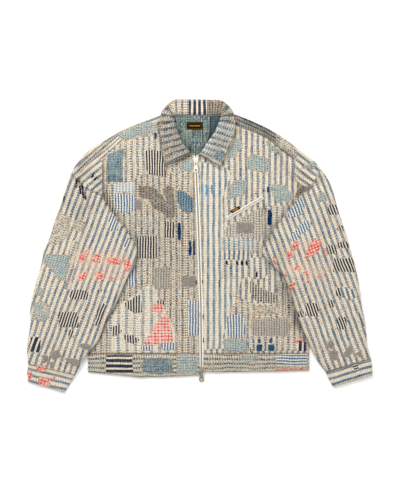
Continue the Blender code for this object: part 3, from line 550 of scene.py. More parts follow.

# %% [markdown]
# The mends are cut from other bolts. Ticking and the broad navy bars were dyed with indigo and
# have kept it, so they take no streaks of fading and hardly any beads. The bright and the faded
# blues, the grey-blue chambrays and the taupes are softer. Cloth that was stitched most is the
# most puckered, with the darkest painted shade in its hollows.
# %% Dye the cloth of the mends
fabrics |= {
    "ticking": cotton("navy ticking", "#EADFCC", [("#04142E", 6.6, 0.63, 0.0)], [], bead=0.04, faded=0.0,
        pucker_shade=0.06, frayed=0.1),
    "broken": cotton("navy ticking, broken up by stitches", "#E6DBC8", [("#020A20", 6.6, 0.72, 0.0)], [],
        bead=0.24, faded=0.0, pucker_shade=0.10, frayed=0.1),
    "navy_bars": cotton("broad navy-barred cotton", "#EBDEC9", [("#03203F", 13.0, 0.64, 0.0)],
        [(TAN, 13.0, 1.1, 0.5, 6.5)], bead=0.04, faded=0.02, pucker_shade=0.14, frayed=0.1),
    "sky": cotton("fine bright-blue stripe", "#E9E6DA", [("#005180", 7.0, 0.54, 0.0)],
        [("#F4EFE2", 7.0, 1.2, 0.4, 3.5)], bead=0.14, faded=0.04, pucker_shade=0.18, frayed=0.3),
    "blue_bars": cotton("bright blue bars", "#E8DCC6", [("#1F6488", 11.8, 0.47, 0.0)],
        [(TAN, 11.8, 1.0, 0.4, 5.9)], bead=0.12, faded=0.04, pucker_shade=0.14, worn_edge="#C99A55"),
    "faded_bars": cotton("faded blue bars", "#DAD3C5", [("#5F879E", 11.8, 0.48, 0.0)],
        [(TAN, 11.8, 1.2, 0.5, 5.9), ("#3D6078", 11.8, 1.8, 0.4, 0.0)], bead=0.3, pucker_shade=0.3),
    "steel": cotton("blue stripe, darker dyed", "#E4DAC8", [("#2A5470", 14.5, 0.48, 2.0)],
        [(TAN, 14.5, 1.2, 0.5, 7.2), (DEEP, 14.5, 1.8, 0.35, 2.0)], bead=0.3, pucker_shade=0.2),
    "narrow": cotton("narrow sewn stripe", "#CDC3B1", [("#2F5A74", 9.4, 0.46, 0.0)],
        [(TAN, 9.4, 1.4, 0.5, 4.7), (DEEP, 9.4, 1.8, 0.45, 0.0)], bead=0.3, mottle=0.2, pucker_shade=0.3),
    "sky_faded": cotton("faded blue stripe", "#E4E0D2", [("#7FA0B4", 8.0, 0.5, 0.0)],
        [("#F4EFE2", 8.0, 1.3, 0.6, 4.0)], bead=0.3, faded=0.2, pucker_shade=0.24),
    "double_line": cotton("double navy line", "#E9DDC9", [("#10264A", 14.5, 0.19, 3.1),
        ("#10264A", 14.5, 0.19, -3.1)], [(PALE, 14.5, 1.2, 0.5, 0.0)], bead=0.12, faded=0.1, pucker_shade=0.2),
    "pale": cotton("pale washed chambray", "#A9B4AF", [], [("#D6D5C6", 6.6, 2.2, 0.7, 0.0),
        ("#5F7C88", 6.6, 1.9, 0.65, 3.3)], slub=0.08, mottle=0.2, fade="#BCC0B4", worn_edge="#C9A878",
        pucker_shade=0.28),
    "denim": cotton("faded denim", "#7D919A", [], [("#B4C0BC", 5.9, 1.7, 0.45, 0.0),
        ("#36505F", 5.9, 1.9, 0.5, 2.9)], slub=0.30, mottle=0.34, fade="#9DA9A6", faded=0.5,
        worn_edge="#B09C7C", pucker_shade=0.28),
    "dotted": cotton("blue cotton with navy stitches", "#6F8B99", [], [("#0E1C3A", 6.6, 2.8, 0.95, 0.0),
        ("#A9B8BC", 6.6, 1.6, 0.6, 3.3)], slub=0.06, mottle=0.16, fade="#8A9CA2", worn_edge="#B09C7C",
        pucker_shade=0.2),
    "taupe": cotton("taupe cotton", "#978D83", [("#857D74", 7.4, 0.4, 3.7)],
        [("#15171F", 7.4, 2.6, 0.8, 0.0), ("#BDB1A0", 7.4, 1.5, 0.5, 3.7)], mottle=0.24, fade="#A69D91",
        faded=0.4, worn_edge="#C5A478", pucker_shade=0.28),
    "plain_taupe": cotton("plain taupe cotton", "#918B86", [], [("#857D7A", 5.8, 1.8, 0.5, 0.0),
        ("#B7ADA2", 5.8, 1.4, 0.4, 2.9)], mottle=0.2, fade="#A69D97", faded=0.4, worn_edge="#A89A88",
        pucker_shade=0.16),
    "ribbed": cotton("fine taupe stripe", "#BFB4A5", [("#797672", 6.4, 0.44, 0.0)],
        [("#4A4C56", 6.4, 1.3, 0.28, 0.0), ("#DCD2C2", 6.4, 1.1, 0.3, 3.2)], bead=0.2, mottle=0.2,
        pucker_shade=0.2, fade="#ADA293", faded=0.35),
}
print(len(fabrics), "fabrics so far")

# %% [markdown]
# The red gingham is woven in checks, and where it is worn the surface is gone in patches down to
# the ground. The facings, the small dark mends, the zip's tapes and the label are nearly plain:
# they need a ground colour, one row of stitches and little else. Damask has hardly any relief.
# %% Dye the checks and the plain cloth
fabrics |= {
    "gingham": cotton("red gingham", "#F0E2CF", [("#E2303C", 8.0, 0.48, 0.0)], [], checks=True,
        fade="#EFE2D0", faded=0.3, mottle=0.10, pucker_shade=0.16, gone=0.35),
    "worn_gingham": cotton("red gingham worn to the ground", "#EDDAC6", [("#DC1424", 7.6, 0.58, 0.0)], [],
        checks=True, fade="#EBCDB6", faded=0.0, mottle=0.12, pucker_shade=0.14, gone=0.55),
    "speckle": cotton("speckled cotton", "#D2C4AF", [("#8E9BA2", 7.2, 0.4, 0.0)],
        [("#3A3638", 3.6, 1.8, 0.50, 0.0), (TAN, 7.2, 1.3, 0.6, 1.8)], mottle=0.2, pucker_shade=0.4, gone=0.5),
    "rose": cotton("faded pink check", "#D9C5B2", [("#D2696E", 6.2, 0.5, 0.0)],
        [(TAN, 5.0, 1.0, 0.5, 0.0)], checks=True, faded=0.3),
    "chambray": cotton("grey-blue chambray", "#7A8A86", [("#5C7076", 9.0, 0.3, 0.0)],
        [("#BCC4B3", 6.0, 2.2, 0.3, 4.0), ("#344A55", 6.0, 2.4, 0.3, 1.0)], slub=0.7, mottle=0.34,
        pucker_shade=0.14, fade="#98A397", faded=0.5, worn_edge="#74827F"),
    "shade": cotton("dark chambray facing", "#4B5E68", [], [("#2A3B46", 5.0, 1.2, 0.5, 0.0)], slub=0.3,
        mottle=0.2, pucker_shade=0.2, fade="#5D6D74", faded=0.4, worn_edge="#4B5B63"),
    "navy": cotton("navy cotton", "#0E3258", [], [("#2F5690", 3.2, 1.0, 0.4, 0.0)], mottle=0.2,
        fade="#2B5580", faded=0.4, worn_edge="#35496A", frayed=0.3),
    "ink": cotton("ink-blue cotton", "#0B1322", [], [("#24344C", 5.0, 1.2, 0.3, 0.0)], mottle=0.2,
        fade="#1C2A40", faded=0.3, worn_edge="#2A3346", frayed=0.2),
    "bright": cotton("bright blue cotton bar", "#4A92C0", [], [("#7FB2D0", 6.2, 1.6, 0.5, 0.0)],
        mottle=0.2, fade="#7FA9C2", faded=0.3, worn_edge="#A9B8B8", pucker_shade=0.14, frayed=0.3),
    "blue": cotton("deep blue cotton", "#174A6E", [], [("#3F7BA6", 6.4, 1.4, 0.3, 0.0)], mottle=0.3,
        fade="#2E6C98", faded=0.4, worn_edge="#5F8398", pucker_shade=0.24, frayed=0.4),
    "tape": cotton("white cotton tape", "#FBFAF4", [], [("#D3CCBD", 2.4, 0.8, 0.35, 0.0)], mottle=0.05,
        pucker_shade=0.06, fade="#F3F0E9", worn_edge="#DDD4C3", lift=0.5),
    "black": cotton("black damask", "#17130A", [], [("#2C2515", 1.6, 0.7, 0.5, 0.0)], mottle=0.15,
        pucker_shade=0.0, fade="#2A2416", worn_edge="#17130A", lift=0.4),
    "ochre": cotton("ochre damask", "#9C7118", [], [("#6B4A0E", 1.6, 0.7, 0.4, 0.0)], mottle=0.15,
        pucker_shade=0.0, fade="#8A651A", worn_edge="#9C7118", lift=0.4),
    "bronze": cotton("dark ochre damask", "#5E430F", [], [("#1D160A", 3.2, 1.4, 0.7, 0.0)], mottle=0.3,
        pucker_shade=0.0, fade="#4A3510", worn_edge="#3A2A0C", lift=0.4),
}
print(len(fabrics), "fabrics,", sum(len(m.node_tree.nodes) for m in fabrics.values()), "nodes")

# %% [markdown]
# ## From a flat pattern to a shell
# Simulation could drape the cloth, but a jacket that someone has smoothed out by hand keeps few
# folds, and each of those has its own place. So they are put in one by one, as soft ridges and
# troughs along short lines, over a gentle unevenness. A few small tools do this: smooth noise,
# a smooth step, the distance from a line, and a smooth curve through the rows of a table.
# %% Small tools for shapes
def unevenness(x, y, size, seed):
    """Smooth random values from -1 to 1, with bumps about size mm apart."""
    lattice = np.random.default_rng(seed).uniform(-1, 1, (61, 61))
    gx, gy = np.asarray(x, float) / size + 300.0, np.asarray(y, float) / size + 300.0
    ix, iy = np.floor(gx).astype(int), np.floor(gy).astype(int)
    fx, fy = gx - ix, gy - iy
    fx, fy = fx * fx * (3 - 2 * fx), fy * fy * (3 - 2 * fy)
    low = lattice[ix % 61, iy % 61] * (1 - fx) + lattice[(ix + 1) % 61, iy % 61] * fx
    high = lattice[ix % 61, (iy + 1) % 61] * (1 - fx) + lattice[(ix + 1) % 61, (iy + 1) % 61] * fx
    return low * (1 - fy) + high * fy


def ease(value):
    """A smooth step from 0 to 1."""
    t = np.clip(value, 0.0, 1.0)
    return t * t * (3 - 2 * t)


def distance(x, y, line):
    """How far points are from a line through given points."""
    best = np.full(np.shape(x), 1e9)
    for (ax, ay), (bx, by) in zip(line, line[1:]):
        dx, dy = bx - ax, by - ay
        t = np.clip(((x - ax) * dx + (y - ay) * dy) / (dx * dx + dy * dy + 1e-9), 0, 1)
        best = np.minimum(best, np.hypot(x - ax - t * dx, y - ay - t * dy))
    return best


def through(table, size):
    """Rows on a smooth curve through those of a table, about size mm apart."""
    rows = np.asarray(table, float)
    gaps = [max(np.hypot(*(b - a)[:2]), np.hypot(*(b - a)[2:4])) for a, b in zip(rows, rows[1:])]
    at = np.concatenate([[0.0], np.cumsum(gaps)])
    slope = np.gradient(rows, at, axis=0)
    made = []
    for i, gap in enumerate(gaps):
        count = max(1, round(gap / size))
        for k in range(count):
            t = k / count
            made.append(rows[i] * (1 + 2 * t) * (1 - t) ** 2 + slope[i] * gap * t * (1 - t) ** 2
                        + rows[i + 1] * t * t * (3 - 2 * t) + slope[i + 1] * gap * t * t * (t - 1))
    made.append(rows[-1])
    return np.array(made)


def shares(length, count, hem=1.6):
    """Places across a row of cloth: a narrow step at each edge, even steps between."""
    hem = min(hem, length * 0.15)
    return np.concatenate([[0.0], np.linspace(hem, length - hem, count), [length]]) / length


# %% [markdown]
# Whatever is made of cloth gets the same finish: its fabric, the painted shade and soil of the place
# where it lies, the body that it moves with, the solid whose place it takes, and the slot that its
# material belongs to. The collar and the zip tapes lie over the shaded places and take no painted shade.
# %% What every piece of cloth carries
SLOTS = {
    "striped_cotton": "striped sewn clean dense steel narrow band cuff wide speckle collar leaf nape "
                      "shoulder panel",
    "indigo_striped_cotton": "ticking broken navy_bars collar_bars double_line",
    "washed_chambray": "chambray shade", "pale_cotton": "pale", "faded_denim": "denim dotted",
    "navy_cotton": "ink navy", "sky_cotton": "bright blue_bars faded_bars sky blue sky_faded",
    "taupe_cotton": "taupe ribbed plain_taupe", "red_gingham": "gingham worn_gingham rose",
    "white_tape": "tape", "black_label": "black ochre",
}
NO_PAINTED_SHADE = ("collar", "zip_tape_right", "zip_tape_left")
MOST = 0.7  # the deepest painted shade and soil, and the strongest blush


def carry(mesh, name, values):
    """Puts a value on each point of a mesh, for its material to read."""
    data = mesh.attributes.new(name, "FLOAT", "POINT").data
    data.foreach_set("value", np.asarray(values, np.float32).ravel())


def finish_cloth(obj, fabric, node):
    """Gives a piece of cloth its fabric, its painted shade and soil, its body, its solid and its slot."""
    scene.collection.objects.link(obj)
    x, y, _ = (np.array([v.co for v in obj.data.vertices]) / MM - SHIFT).T
    # painted shade, with some soil, darkens the colour along the listed lines
    carry(obj.data, "soil", 0 * x if node in NO_PAINTED_SHADE else np.clip(creases(x, y, PAINTED_SHADE_AND_SOIL), 0, MOST))
    if obj.name.startswith("shell_sleeve"):
        carry(obj.data, "blush", np.clip(creases(x, y, BLUSH), 0, MOST))
    obj.data.shade_smooth()
    obj.data.materials.append(fabrics[fabric])
    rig.ride(obj, BODY)
    if node:
        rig.replaces(obj, node)
    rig.slot(obj, next(name for name, words in SLOTS.items() if fabric in words.split()))
    return obj


print(len(fabrics), "fabrics in", len(SLOTS), "slots")

# %% [markdown]
# A pattern piece is a grid of points: rows along the cloth, columns across. The same grid also
# has a flat version, which becomes the UV map, so a bar that is 6 mm wide on the bolt is 6 mm
# wide on the jacket wherever the cloth goes. The wall is added by Solidify, inward from the face
# that shows.
# %% Cloth from a grid
FRAY = 8.0  # mm from an edge that its wear reaches
shells = {}  # name: what lies on it finds its height here
sheets = []  # object, flat size, area, what it rests on


def cloth(name, grid, pattern, fabric, node, rests_on, wall=1.4, tube=False, up=None,
          inside=None, second=None, split=0, cut=None):
    """A shell of cloth over a grid of points, its flat pattern as the UV map.
    Below row number split it takes the second pattern instead."""
    grid, pattern = np.asarray(grid, float), np.asarray(pattern, float)
    rows, columns = grid.shape[:2]
    spans = columns if tube else columns - 1
    i, j = (k.ravel() for k in np.meshgrid(np.arange(rows - 1), np.arange(spans), indexing="ij"))
    n = (j + 1) % columns
    faces = np.stack([i * columns + j, i * columns + n, (i + 1) * columns + n, (i + 1) * columns + j], 1)
    corners = ((i, j), (i, j + 1), (i + 1, j + 1), (i + 1, j))
    uv = np.stack([pattern[at] for at in corners], 1)
    if second is not None:
        uv = np.where((i >= split)[:, None, None], np.stack([second[at] for at in corners], 1), uv)
    world = to_world(grid.reshape(-1, 3))
    row, column = up or (rows // 2, spans // 2)
    a, b, _, d = world[faces[row * spans + column]]
    if np.cross(b - a, d - a)[2] < 0:
        faces, uv = faces[:, ::-1], uv[:, ::-1]
    mesh = bpy.data.meshes.new(name)
    mesh.from_pydata(world.tolist(), [], faces.tolist())
    layer = mesh.uv_layers.new(name="pattern")
    layer.data.foreach_set("uv", (uv.reshape(-1) * MM).astype(np.float32))
    flat = pattern[:, :columns]
    lines = [flat[0], flat[-1]] + ([] if tube else [flat[:, 0], flat[:, -1]])
    away = np.min([distance(flat[..., 0], flat[..., 1], line) for line in lines], axis=0)
    carry(mesh, "edge", np.clip(away / FRAY, 0, 1))
    obj = finish_cloth(bpy.data.objects.new(name, mesh), fabric, node)
    solid = obj.modifiers.new("wall", "SOLIDIFY")
    solid.thickness = wall * MM
    solid.offset = -1.0
    if inside:
        mesh.materials.append(fabrics[inside])
        solid.material_offset = 1
    shells[name] = BVHTree.FromPolygons(world.tolist(), faces.tolist())
    size = uv * MM
    one, two = size[:, 2] - size[:, 0], size[:, 3] - size[:, 1]
    area = float(np.abs(one[:, 0] * two[:, 1] - one[:, 1] * two[:, 0]).sum() / 2)
    wide, long = cut or (pattern.reshape(-1, 2).max(0) - pattern.reshape(-1, 2).min(0)) * MM
    sheets.append((obj, (float(wide), float(long)), area, rests_on))
    print(f"{name}: cut {wide:.3f} x {long:.3f} m, {area:.4f} m2, {len(faces)} faces")
    return obj


# %% [markdown]
# Each shell is also kept as a search tree, so that whatever is laid on it later can ask where a
# plumb line meets it. The highest hit is where a patch or a stitch comes to rest. A line that
# misses, just past the edge of a panel, takes the nearest point instead.
# %% A plumb line
DOWN = Vector((0, 0, -1))
ABOVE = 100.0  # mm; higher than anything on the table


def plumb(x, y, names):
    """What a plumb line at (x, y) meets on each shell: its place and normal, or None and None."""
    start = Vector(to_world((x, y, ABOVE)))
    return [shells[name].ray_cast(start, DOWN)[:2] for name in names]


def land(x, y, names):
    """Where something laid down at (x, y) comes to rest on some shells, and the normal there."""
    hits = [hit for hit in plumb(x, y, names) if hit[0] is not None]
    if hits:
        place, normal = max(hits, key=lambda hit: hit[0].z)
    else:
        near = [shells[name].find_nearest(Vector(to_world((x, y, 8.0)))) for name in names]
        place, normal = min(near, key=lambda hit: hit[3])[:2]
    normal = np.array(normal) * (1 if normal.z > 0 else -1)
    return np.array(place) / MM - SHIFT, normal


def faces_on_table(obj):
    """Each face of a piece, with the place of its middle on the cutting table."""
    for face in obj.data.polygons:
        x, y, _ = np.array(face.center) / MM - SHIFT
        yield face, x, y


# %% [markdown]
# ## The body
# The cuts are the same as those of the solids: a back from the waistband to the neck, two fronts
# that stop at the yoke seams, and two yokes that fold over the shoulders. The front is nearly
# flat. It swells a little between its seams, puckers where rows of stitching draw it in, and
# carries a few soft folds that run from the left armhole toward the chest. First come the edges,
# each as two rows of numbers: how far up from the hem, and how far out from the centre. Those of
# the shoulder, which is nearly level, stand the other way round. Side -1 is the wearer's right,
# side 1 the left.
# %% Edges of the body
FRONT_Z = 4.5  # the face of the fronts: two plies on the two of the back
WAIST_TOP = 49.5
ARMHOLE_X = 239.0
NECK_HALF = 68.0
BACK_NECK_Y = 645.0
YOKE_BEHIND = 60.0  # how far a yoke reaches down the back
YOKE_LOW = 534  # the lowest point of a yoke's seam on the front
ZIP_TOP = 547
ZIP_HALF = 7.5  # from the middle of the zip to the outer edge of its tape
FOLD_OVER = 2.3  # how far the turned edge of a front covers the zip tape
BESIDE_ZIP = 7.0  # this near to the zip, cloth lies on the tape
ON_TAPE = 5.5  # the height of cloth there
EDGE = {
    -1: ((48, 240, 436, 447, 465, 490, 534, 556, 586, 606, 619, 628),
         (276, 280, 282, 262, 246, 239, 239, 209, 175, 131, 91, 68)),
    1: ((48, 240, 436, 455, 464, 474, 483, 497, 534, 556, 586, 606, 619, 628),
        (276, 280, 283, 281, 267, 254, 244, 239, 239, 209, 175, 131, 91, 68)),
}
SHOULDER = {
    -1: ((68, 94, 129, 169, 201, 226, 239), (650, 647, 634, 619, 604, 589, 581)),
    1: ((68, 94, 129, 169, 201, 226, 239), (650, 647, 633, 615, 596, 579, 570)),
}
ZIP_LINE = ((-8, 19, 169, 369, 421, 547), (7.5, 7.5, 6.2, 0.0, -2.0, -7.5))
NECK_EDGE = {
    -1: ((547, 560, 576, 600, 622), (-15.0, -32, -50, -62, -68)),
    1: ((547, 560, 576, 600, 622), (0.1, 20, 36, 50, 62)),
}
SLEEVE_EDGE = {
    -1: ((-5, 30, 54, 80, 126, 154, 187, 231, 264, 301, 346, 375, 403, 424, 437, 450),
         (309, 289, 272, 251, 231, 216, 199, 181, 161, 151, 171, 194, 216, 229, 238, 239)),
    1: ((4, 26, 57, 94, 131, 166, 206, 245, 273, 303, 341, 374, 404, 431, 451, 461),
        (318, 301, 283, 266, 249, 241, 229, 209, 181, 159, 177, 199, 222, 241, 262, 277)),
}
print("hem", sum(EDGE[side][1][0] for side in EDGE), "mm across")

# %% [markdown]
# Folds, painted shade with some soil, and bled dye are all given in one way: a line on the cutting
# table, how wide it reaches, and how strong it is. A fold is a ridge, or a trough if its number is
# below zero. Painted shade darkens the colour along seams, at the elbows, where the cloth lies
# creased, beside the raised edges of the sleeves, the collar and the chest zip, and round the neck;
# some of it is soil. Red dye has run out of the worn checks into the cotton round them.
# %% Folds, painted shade and soil, and blush
FRONT_FOLDS = (
    (((188, 566), (236, 512)), 7, 1.5), (((205, 575), (238, 534)), 5, -1.0),
    (((225, 520), (262, 474)), 8, 1.2), (((-60, 330), (-150, 392)), 14, 0.9),
    (((40, 250), (96, 330)), 16, 0.9), (((-40, 120), (-60, 260)), 12, 0.7),
    (((26, 60), (34, 230)), 9, 0.8), (((-22, 380), (-30, 500)), 9, 0.8),
    (((-190, 520), (-120, 560)), 10, 0.9), (((90, 500), (60, 560)), 12, -0.7),
    (((30, 420), (120, 350)), 14, 0.8), (((-235, 470), (-205, 440)), 8, 0.9),
)
# How much painted shade, with some soil, darkens the cloth along each line
PAINTED_SHADE_AND_SOIL = (
    ([(-(x - 3.0), y) for y, x in zip(*SLEEVE_EDGE[-1])], 6.0, 0.30),
    ([(x - 4.0, y) for y, x in zip(*SLEEVE_EDGE[1])], 8.0, 0.34),
    (((200, 320), (206, 262), (226, 200)), 16, 0.16), (((204, 210), (226, 160), (246, 120)), 12, 0.22),
    (((-232, 545), (-238, 470), (-222, 428)), 3.5, 0.16),
    (((-300, 520), (-262, 470), (-290, 420)), 44, 0.17),
    (((-302, 486), (-292, 462), (-281, 438)), 4, 0.34), (((-268, 498), (-240, 482)), 4, 0.2),
    (((-320, 500), (-296, 478)), 4, 0.25), (((120, 632), (160, 610), (188, 586)), 14, 0.40),
    (((205, 566), (240, 534)), 8, 0.12), (((246, 506), (285, 480)), 4, 0.32),
    (((256, 526), (300, 492)), 3.5, 0.3), (((250, 486), (276, 470)), 4, 0.3),
    (((270, 460), (300, 476), (314, 500)), 5, 0.28), (((196, 556), (214, 520), (236, 482)), 5, 0.2),
    (((-19, 544), (-50, 528), (-80, 514), (-87, 536), (-92, 560), (-97, 590), (-99, 630)), 3.8, 0.58),
    (((4, 544), (28, 528), (56, 511), (71, 538), (79, 561), (87, 579), (95, 600), (96, 626)), 3.8, 0.56),
    (((-60, 633), (-47, 596), (-27, 561)), 6, 0.22), (((56, 641), (44, 612), (21, 577)), 6, 0.22),
    (((-18, 560), (4, 552)), 11, 0.3), (((167, 420), (180, 340)), 9, 0.22),
    (((-270, 49), (270, 50)), 2.4, 0.06), (((20, 24), (260, 28)), 26, 0.06),
    (((-425, 23), (-309, -6)), 2.5, 0.2), (((430, 37), (318, 3)), 2.5, 0.22),
    (((-120, 370), (-60, 290)), 70, 0.08), (((-340, 440), (-250, 330)), 50, 0.05),
    (((66, 384), (162, 438)), 6.5, 0.22),
)
# How much of the bled colour shows along each line
BLUSH = (
    (((-292, 282), (-240, 284), (-184, 272)), 20, 0.52),
    (((-292, 246), (-240, 247), (-192, 241)), 9, 0.35), (((212, 300), (250, 324), (296, 326)), 13, 0.34),
    (((232, 264), (272, 258), (306, 252)), 15, 0.45), (((-404, 8), (-372, -10), (-380, -30)), 12, 0.3),
)


print(len(FRONT_FOLDS), "folds,", len(PAINTED_SHADE_AND_SOIL), "soiled and", len(BLUSH), "blushed lines")

# %% [markdown]
# A front is a level grid between its two edges that is then raised to its height. The rows and
# columns stand close together at the edges, because the cloth turns down there into its seams,
# and that small roll is what makes a seam look sewn.
# %% The face of the fronts
def edge_out(side, y):
    """How far out the body's edge is at a height."""
    return np.interp(y, *EDGE[side])


def zip_x(y):
    """The middle of the front zip, which doesn't run quite straight."""
    return np.interp(y, *ZIP_LINE)


def creases(x, y, table):
    """Height of listed folds, each a line with a width and a height."""
    return sum(high * np.exp(-(distance(x, y, line) / wide) ** 2) for line, wide, high in table)


SLEEVE_OFF = 470  # above this, a sleeve no longer lies on the front


def front_height(x, y):
    """Height of the face of the fronts; it is level where a sleeve lies on it."""
    left, right = (np.interp(y, *SLEEVE_EDGE[side]) for side in (-1, 1))
    edge = np.where(np.asarray(x) < 0, left, right)
    clear = np.where(np.asarray(y) > SLEEVE_OFF, 1.0, ease((edge - np.abs(x)) / 26.0))
    swell = 1.1 + 0.8 * unevenness(x, y, 64, 3) + 0.45 * unevenness(x, y, 21, 4)
    swell = swell + 0.22 * unevenness(x, y, 7.5, 5) + creases(x, y, FRONT_FOLDS)
    return FRONT_Z + clear * np.maximum(swell, -0.1)


def turned_down(height, x, y, lines, deep=1.1, near=2.4):
    """The cloth goes down into its seams."""
    away = np.min([distance(x, y, line) for line in lines], axis=0)
    return height - deep * np.exp(-(away / near) ** 2)


def panel(rows, count):
    """A level grid between the two ends of each row."""
    grid = []
    for (ax, ay), (bx, by) in rows:
        t = shares(max(2.0, math.hypot(bx - ax, by - ay)), count)
        grid.append(np.stack([ax + (bx - ax) * t, ay + (by - ay) * t, 0 * t], 1))
    return np.array(grid)


def rim_lines(grid):
    """The four edges of a grid, seen from above."""
    return [grid[0, :, :2], grid[-1, :, :2], grid[:, 0, :2], grid[:, -1, :2]]


def heights_of(low, high, step, knots=()):
    """Rows from low to high with a narrow one at each end."""
    made = {low, low + 1.6, high - 1.6, high, *[k for k in knots if low < k < high]}
    made |= set(np.arange(low + step, high - step / 2, step).tolist())
    made = sorted(made)
    return [made[0]] + [b for a, b in zip(made, made[1:]) if b - a > 0.5 or b == high]


# %% [markdown]
# The back lies under everything. It is one panel that runs from edge to edge; near the top its
# rows slant with the shoulders, and a narrow stem goes on to the back of the neck. Chambray
# shows on its inner face there, and the stripes are outside, on the hidden side.
# %% Fronts and back
SIDES = ((-1, "right"), (1, "left"))
for side, word in SIDES:
    rows = []
    for y in heights_of(WAIST_TOP + 0.2, 622, 4.4, (447, 465, 490, YOKE_LOW, ZIP_TOP)):
        inner = zip_x(y) + side * (ZIP_HALF - FOLD_OVER)
        if y > ZIP_TOP:
            inner = np.interp(y, *NECK_EDGE[side])
        rows.append(((inner, y), (side * (edge_out(side, y) - 0.15), y)))
    grid = panel(rows, 60)
    x, y = grid[..., 0], grid[..., 1]
    grid[..., 2] = turned_down(front_height(x, y), x, y, rim_lines(grid))
    by_zip = (np.abs(x - zip_x(y)) < BESIDE_ZIP) & (y < ZIP_TOP + 1)
    grid[..., 2] = np.where(by_zip, np.maximum(grid[..., 2], ON_TAPE), grid[..., 2])
    cloth("shell_front_" + word, grid, grid[..., :2] + (4.0, 0.0), "dense" if side < 0 else "striped",
          "front_" + word, ["shell_back"], inside="chambray")

rows = []
for y in np.arange(WAIST_TOP + 0.3, 509, 7.0):
    rows.append(((-edge_out(-1, y) + 0.2, y), (edge_out(1, y) - 0.2, y)))
for out in np.arange(238, NECK_HALF, -9.0):
    low, high = (np.interp(out, *SHOULDER[side]) - YOKE_BEHIND - 0.6 for side in (-1, 1))
    rows.append(((-out, low), (out, high)))
rows += [((-NECK_HALF + 0.4, y), (NECK_HALF - 0.4, y)) for y in (590.5, 605, 620, 635, BACK_NECK_Y)]
grid = panel(rows, 84)
grid[..., 2] = 1.5 + 0.25 * unevenness(grid[..., 0], grid[..., 1], 30, 8)
cloth("shell_back", grid, grid[..., :2], "chambray", "back", [], wall=1.2, inside="striped")

# %% [markdown]
# A yoke is one strip: it starts at the seam on the front, turns over the shoulder and ends at
# the seam behind. Its bars run along the shoulder, so its pattern is measured from the fold.
# %% Yokes
for side, word in SIDES:
    seam = sorted((o, y) for y, o in zip(*EDGE[side]) if y >= YOKE_LOW)
    turn = np.linspace(math.pi / 2, -math.pi / 2, 9)
    grid = []
    for out in np.concatenate([[68.0, 69.5], np.arange(72, 237, 4.0), [237.4, 238.8]]):
        fold = np.interp(out, *SHOULDER[side]) - 2.4
        start = np.interp(out, [o for o, _ in seam], [y for _, y in seam]) + 0.6
        ahead = start + (fold - start) * np.array([0, 0.06, 0.2, 0.35, 0.5, 0.65, 0.8, 0.92])
        behind = fold + (2.4 - YOKE_BEHIND) * np.array([0.1, 0.4, 0.7, 0.97, 1.0])
        ys = np.concatenate([ahead, fold + 2.5 * np.cos(turn), behind])
        xs = np.full(len(ys), side * out)
        swell = np.array([0, 0.6] + [1] * 6 + [0] * 14) * (0.8 + 0.8 * unevenness(xs, ys, 26, 12))
        zs = np.concatenate([np.full(8, 4.9), 2.6 + 2.3 * np.sin(turn), np.full(5, 0.3)]) + swell
        zs[0] -= 1.0
        grid.append(np.stack([xs, ys, zs], 1))
    grid = np.array(grid)
    walk = np.cumsum(np.linalg.norm(np.diff(grid, axis=1, prepend=grid[:, :1]), axis=2), axis=1)
    along = np.cumsum(np.linalg.norm(np.diff(grid[:, 12], axis=0, prepend=grid[:1, 12]), axis=1))
    pattern = np.stack([walk - walk[:, 12:13], np.repeat(along[:, None], walk.shape[1], 1)], 2)
    cloth("shell_yoke_" + word, grid, pattern, "striped" if side < 0 else "shoulder", "yoke_" + word,
          ["shell_back"], wall=1.5, inside="chambray", up=(20, 4))

# %% [markdown]
# ## Sleeves and cuffs
# A sleeve is a tube that has been pressed flat by hand: two layers, round along both edges, with
# a little air between them. The table below gives it section by section from the armhole to the
# cuff: x and y of the outer edge, x and y of the inner edge, how far the section bows, and how
# much its middle is raised, all in mm.
# %% Sections and folds of the sleeves
SLEEVES = {
    -1: ((-239.3, 580, -239.3, 450, 0, 0.0), (-274, 559, -239.6, 446, 2, 0.6),
         (-301, 529, -239.4, 442, 2, 1.0), (-318, 501, -238, 437, 0, 2.0),
         (-334, 454, -229, 424, 0, 0.8), (-346, 419, -216, 403, 0, 0.6),
         (-359, 379, -194, 375, 0, 0.8), (-371, 339, -171, 346, 0, 1.2),
         (-386, 304, -151, 301, 0, 1.8), (-394, 266, -161, 264, 0, 1.4),
         (-404, 234, -181, 231, 0, 0.6), (-414, 199, -199, 187, 0, 0.8),
         (-420, 159, -216, 154, 0, 1.0), (-420, 121, -231, 126, 0, 0.6),
         (-426, 84, -251, 80, 0, 1.0), (-428, 56, -272, 54, 0, 0.6),
         (-427, 42, -289, 30, 0, 0.4), (-425.2, 24, -308.8, -4.5, 0, 0.2)),
    1: ((239.6, 569, 268, 466, 20, 0.0), (271, 544, 272, 464, 10, 0.6),
        (292, 528, 275, 463, 4, 1.0), (305, 512, 277, 461.5, 0, 2.0),
        (316, 496, 271, 457, 0, 1.2), (325, 482, 262, 451, 0, 0.6),
        (336, 454, 241, 431, 0, 0.6), (345, 420, 222, 404, 0, 0.6),
        (356, 385, 199, 374, 0, 0.8), (368, 350, 177, 341, 0, 1.2),
        (381, 304, 159, 303, 0, 1.8), (391, 268, 181, 273, 0, 1.4),
        (397, 240, 209, 245, 0, 0.6), (403, 205, 229, 206, 0, 0.8),
        (408, 165, 241, 166, 0, 1.0), (416, 128, 249, 131, 0, 0.6),
        (419, 94, 266, 94, 0, 1.0), (422, 64, 283, 57, 0, 0.6),
        (427, 50, 301, 26, 0, 0.4), (430.2, 38.2, 317.5, 4.3, 0, 0.2)),
}
